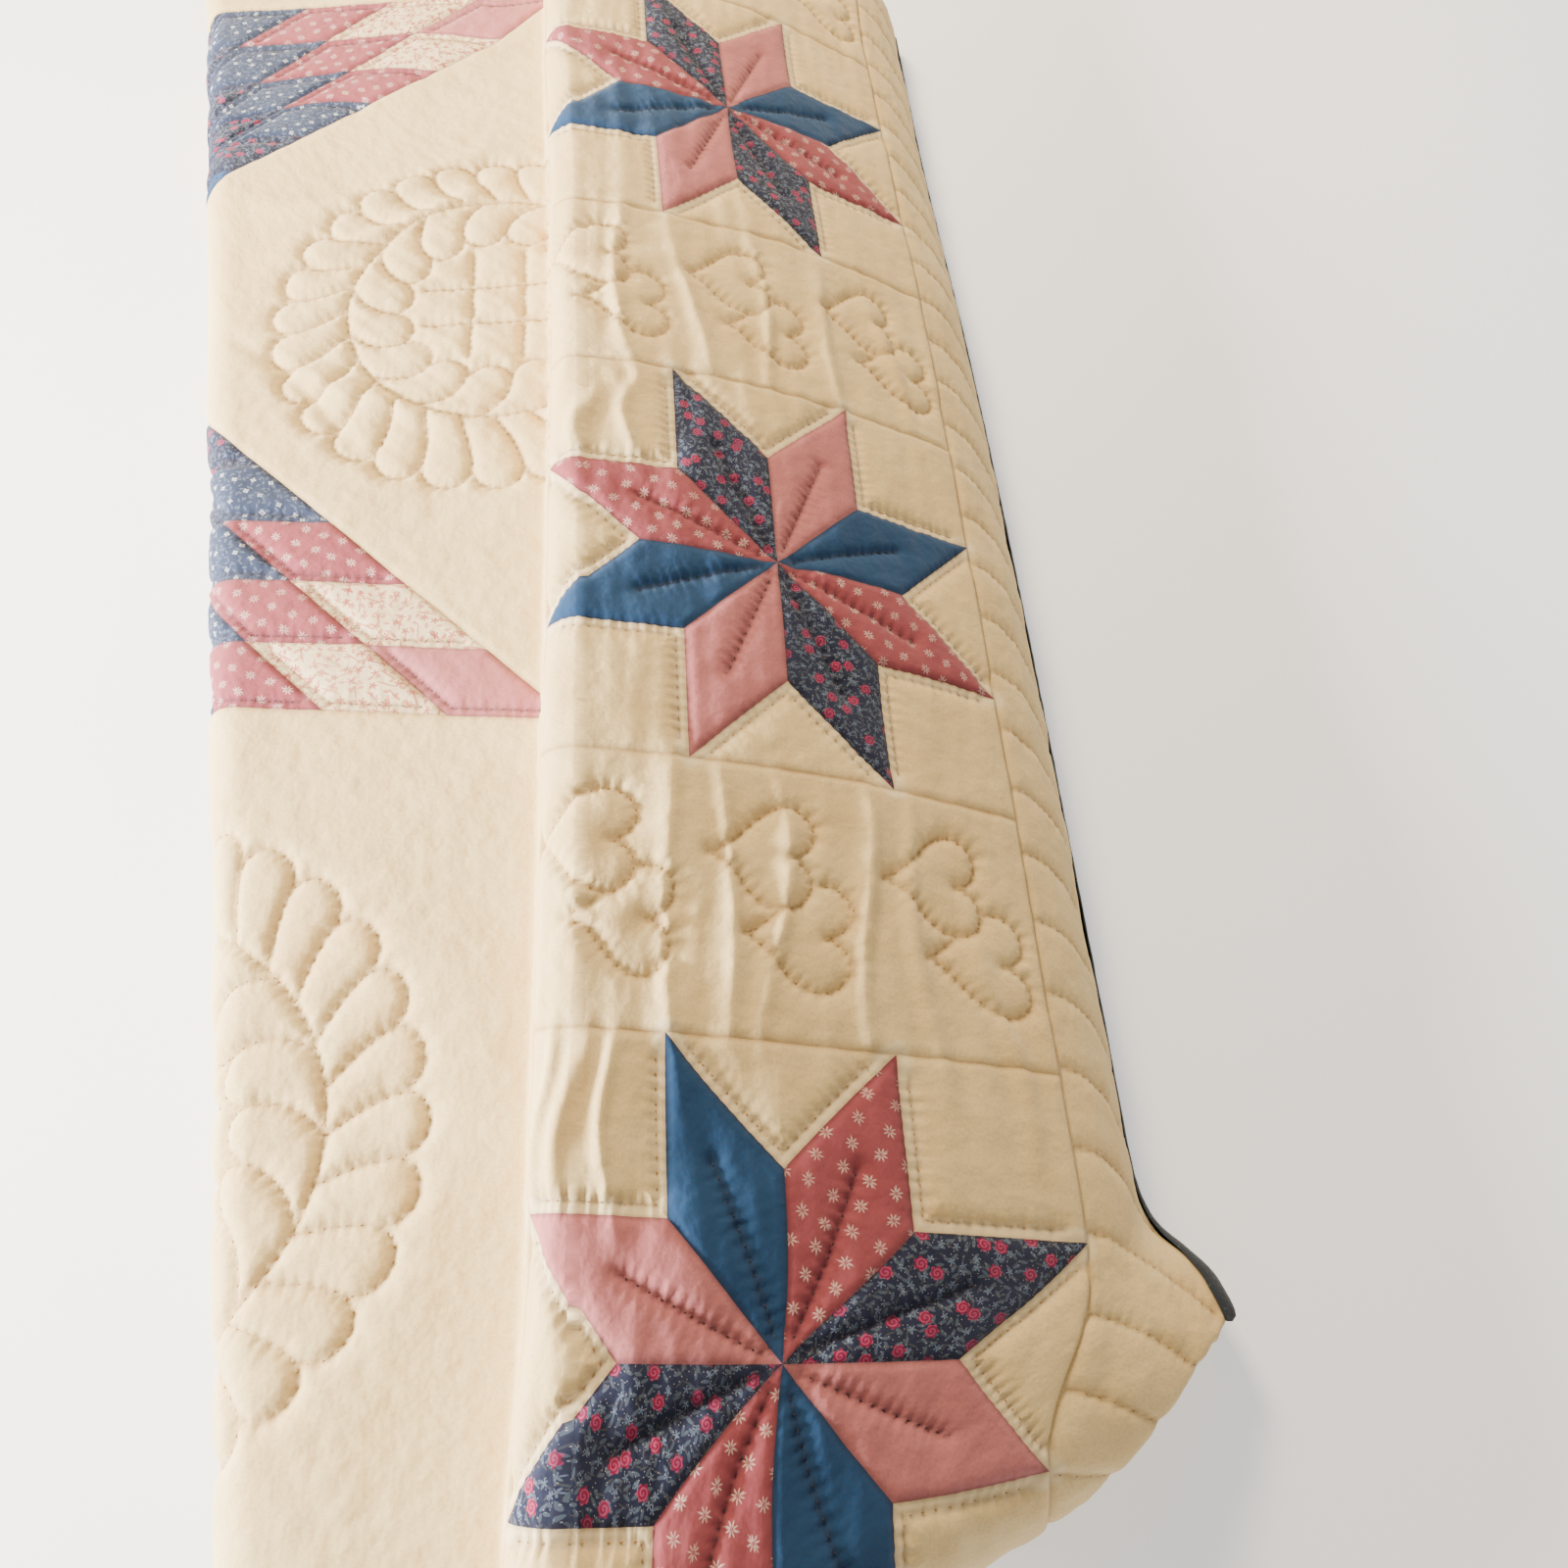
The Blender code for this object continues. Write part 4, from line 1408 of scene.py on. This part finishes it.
def hem_binding(name, side):
    """The binding of one ply along the hem."""
    end = float(smooth_lookup(NOSE, "place", "end_y", np.array([HEM_PLACE]))[0])
    along = np.linspace(end - 0.004, BACK_Y + 0.004, BINDING_ROWS)
    place = np.full_like(along, HEM_PLACE)
    upper = lay(place, along, np.zeros_like(along))[0]
    inner, normal = lay(place - 0.0006, along, np.zeros_like(along))
    across = unit(upper - inner)
    lengthwise = unit(np.gradient(upper, axis=0))
    across = unit(across - lengthwise * np.sum(across * lengthwise, axis=1, keepdims=True))
    half = EDGE_LAYER / 2
    middle = upper - normal * half
    strip = bmesh.new()
    count = len(BINDING_PROFILE) - 1
    bmesh.ops.create_grid(strip, x_segments=count - 1, y_segments=BINDING_ROWS - 1, size=0.5)
    if side < 0:
        bmesh.ops.reverse_faces(strip, faces=strip.faces)
    for vertex in strip.verts:
        i = int(round((vertex.co.x + 0.5) * (count - 1)))
        j = int(round((vertex.co.y + 0.5) * (BINDING_ROWS - 1)))
        out, share, lift = BINDING_PROFILE[i + 1]
        pucker = 0.0005 * noise.noise(Vector((along[j] * 90, i * 0.4, side * 3.0)))
        high = side * (half * share + lift + pucker)
        vertex.co = middle[j] + across[j] * (out + pucker) + normal[j] * high
    mesh = bpy.data.meshes.new(name)
    strip.to_mesh(mesh)
    strip.free()
    mesh.materials.append(BINDING_COTTON)
    piece = show(mesh, name)
    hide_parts("hem_binding_upper" if side > 0 else "hem_binding_lower")
    return piece


bindings = [hem_binding("hem_binding_top_ply", 1), hem_binding("hem_binding_under_ply", -1)]
for name in ("end_binding_upper", "end_binding_lower"):
    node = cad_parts[name]
    node.data.materials.clear()
    node.data.materials.append(BINDING_COTTON)
print("bindings:", [piece.name for piece in bindings])

# %% [markdown]
# ## Stitches
#
# Quilting stitches are about two millimetres long with a small gap between them. One stitch
# is modelled, and arrays place its copies along every line, each lying in its ditch and
# turned to the cloth, so thousands of them stay light.

# %% One stitch
STITCH_PITCH = 0.0036
STITCH_LENGTH = 0.0023
STITCH_WIDTH = 0.00085
STITCH_RISE = 0.00050
SEAM_CLEAR = 0.002                  # no stitch lies nearer than this to a seam or an end
HEM_CLEAR = 0.003

shape = bmesh.new()
bmesh.ops.create_uvsphere(shape, u_segments=4, v_segments=2, radius=0.5)
bmesh.ops.triangulate(shape, faces=shape.faces)
stitch_points = np.array([vertex.co[:] for vertex in shape.verts])
stitch_faces = np.array([[vertex.index for vertex in face.verts] for face in shape.faces])
shape.free()


def thread_finish(name, light, dark):
    """Cotton thread, a little lumpy in colour and height."""
    finish = Finish(name)
    place = finish.node("ShaderNodeTexCoord", {}, {}, "Object")
    lumps = finish.noise(place, 0.004, 2.0)
    finish.put(finish.shader.inputs["Base Color"], finish.mix(lumps, light, dark))
    finish.put(finish.shader.inputs["Roughness"], 0.80 - lumps * 0.1)
    sockets = {"Strength": 0.4, "Distance": 1.0, "Height": finish.noise(place, 0.0005, 1.0) * 0.0001}
    finish.put(finish.shader.inputs["Normal"], finish.node("ShaderNodeBump", {}, sockets))
    return finish.material


TAN_THREAD = thread_finish("tan_thread", linear(196, 156, 100), linear(156, 114, 66))
DUSK_THREAD = thread_finish("dusk_thread", linear(74, 62, 70), linear(44, 40, 54))


def stitch_lines(name, lines, low, high, thread):
    """All the stitches of some lines between two places, as one joined mesh."""
    starts, stops = [], []
    for line in lines:
        dots = resample(line, STITCH_PITCH)
        step = unit(np.diff(dots, axis=0)) * STITCH_LENGTH
        starts.append(dots[:-1])
        stops.append(dots[:-1] + step)
    starts, stops = np.concatenate(starts), np.concatenate(stops)
    kept = (np.minimum(starts[:, 0], stops[:, 0]) > low) & (np.maximum(starts[:, 0], stops[:, 0]) < high)
    kept &= past_ends(starts[:, 0], starts[:, 1]) < -SEAM_CLEAR
    starts, stops = starts[kept], stops[kept]
    height = region_relief(starts[:, 0], starts[:, 1])[0] + 0.0001
    first = lay(*folded_at(starts[:, 0], starts[:, 1]), height)[0]
    last, normal = lay(*folded_at(stops[:, 0], stops[:, 1]), height)
    ahead = unit(last - first)
    aside = unit(np.cross(normal, ahead))
    middle = (first + last) / 2
    axes = np.stack([ahead * STITCH_LENGTH, aside * STITCH_WIDTH, normal * STITCH_RISE], axis=1)
    points = middle[:, None, :] + np.einsum("pk,nkc->npc", stitch_points, axes)
    faces = stitch_faces[None] + (np.arange(len(points)) * len(stitch_points))[:, None, None]
    mesh = bpy.data.meshes.new(name)
    mesh.from_pydata(points.reshape(-1, 3).tolist(), [], faces.reshape(-1, 3).tolist())
    mesh.materials.append(thread)
    show(mesh, name)
    print(name, len(points), "stitches")


stitch_lines("strip_stitches", strip_lines, SEAM_CLEAR, STRIP_WIDTH - SEAM_CLEAR, TAN_THREAD)
stitch_lines("vein_stitches", vein_lines, SEAM_CLEAR, STRIP_WIDTH - SEAM_CLEAR, DUSK_THREAD)
stitch_lines("wreath_stitches", field_lines, LEFT_REACH, -SEAM_CLEAR, TAN_THREAD)
stitch_lines("diamond_stitches", diamond_lines, LEFT_REACH, -SEAM_CLEAR, DUSK_THREAD)
stitch_lines("border_stitches", hem_lines, STRIP_WIDTH, HEM_PLACE - HEM_CLEAR, TAN_THREAD)

# %% [markdown]
# ## Floor, light and camera
#
# The quilt lies on a plain pale floor. Soft daylight comes low from the left, and a warm lamp
# from behind and above. The camera looks down along the strip from its front end.

# %% Floor
FLOOR_SIZE = 6.0


def plain_finish(name, colour, roughness, glow):
    """An even studio surface that glows a little."""
    finish = Finish(name)
    finish.shader.inputs["Base Color"].default_value = colour
    finish.shader.inputs["Roughness"].default_value = roughness
    finish.shader.inputs["Emission Color"].default_value = colour
    finish.shader.inputs["Emission Strength"].default_value = glow
    return finish.material


ground = bmesh.new()
bmesh.ops.create_grid(ground, x_segments=1, y_segments=1, size=FLOOR_SIZE / 2)
floor_mesh = bpy.data.meshes.new("floor")
ground.to_mesh(floor_mesh)
ground.free()
floor_mesh.materials.append(plain_finish("pale_floor", linear(246, 248, 252), 0.8, 0.6))
floor = bpy.data.objects.new("floor", floor_mesh)
floor.location.z = -0.0005
bpy.context.scene.collection.objects.link(floor)


# %% Lights and world
def soft_light(name, place, target, size, power, colour):
    """A square area light that looks at a point."""
    data = bpy.data.lights.new(name, "AREA")
    data.size = size
    data.energy = power
    data.color = colour
    light = bpy.data.objects.new(name, data)
    light.location = place
    light.rotation_euler = (Vector(target) - Vector(place)).to_track_quat("-Z", "Y").to_euler()
    bpy.context.scene.collection.objects.link(light)


soft_light("daylight", (-1.9, -0.5, 0.75), (0.0, 0.0, 0.1), 0.40, 250.0, (1.0, 0.97, 0.92))
soft_light("lamp", (-0.5, 1.5, 1.5), (0.0, 0.1, 0.1), 0.6, 80.0, (1.0, 0.82, 0.56))
world = bpy.data.worlds.new("studio")
world.use_nodes = True
world.node_tree.nodes["Background"].inputs["Color"].default_value = (1.0, 0.90, 0.74, 1.0)
world.node_tree.nodes["Background"].inputs["Strength"].default_value = 0.50
bpy.context.scene.world = world

# %% Camera
CAMERA_AT = np.array([0.149, -0.461, 0.754]) + TO_ORIGIN
CAMERA_PITCH = 0.467
CAMERA_ROLL = -0.059

forward = Vector((0.0, math.sin(CAMERA_PITCH), -math.cos(CAMERA_PITCH)))
right = Vector((1.0, 0.0, 0.0))
up = right.cross(forward)
rolled_right = right * math.cos(CAMERA_ROLL) + up * math.sin(CAMERA_ROLL)
rolled_up = up * math.cos(CAMERA_ROLL) - right * math.sin(CAMERA_ROLL)
lens = bpy.data.cameras.new("camera")
lens.lens = 27.0
lens.sensor_width = 36.0
lens.clip_start = 0.01
camera = bpy.data.objects.new("camera", lens)
turn = Matrix((rolled_right, rolled_up, -forward)).transposed().to_4x4()
camera.matrix_world = Matrix.Translation(Vector(CAMERA_AT)) @ turn
bpy.context.scene.collection.objects.link(camera)
bpy.context.scene.camera = camera
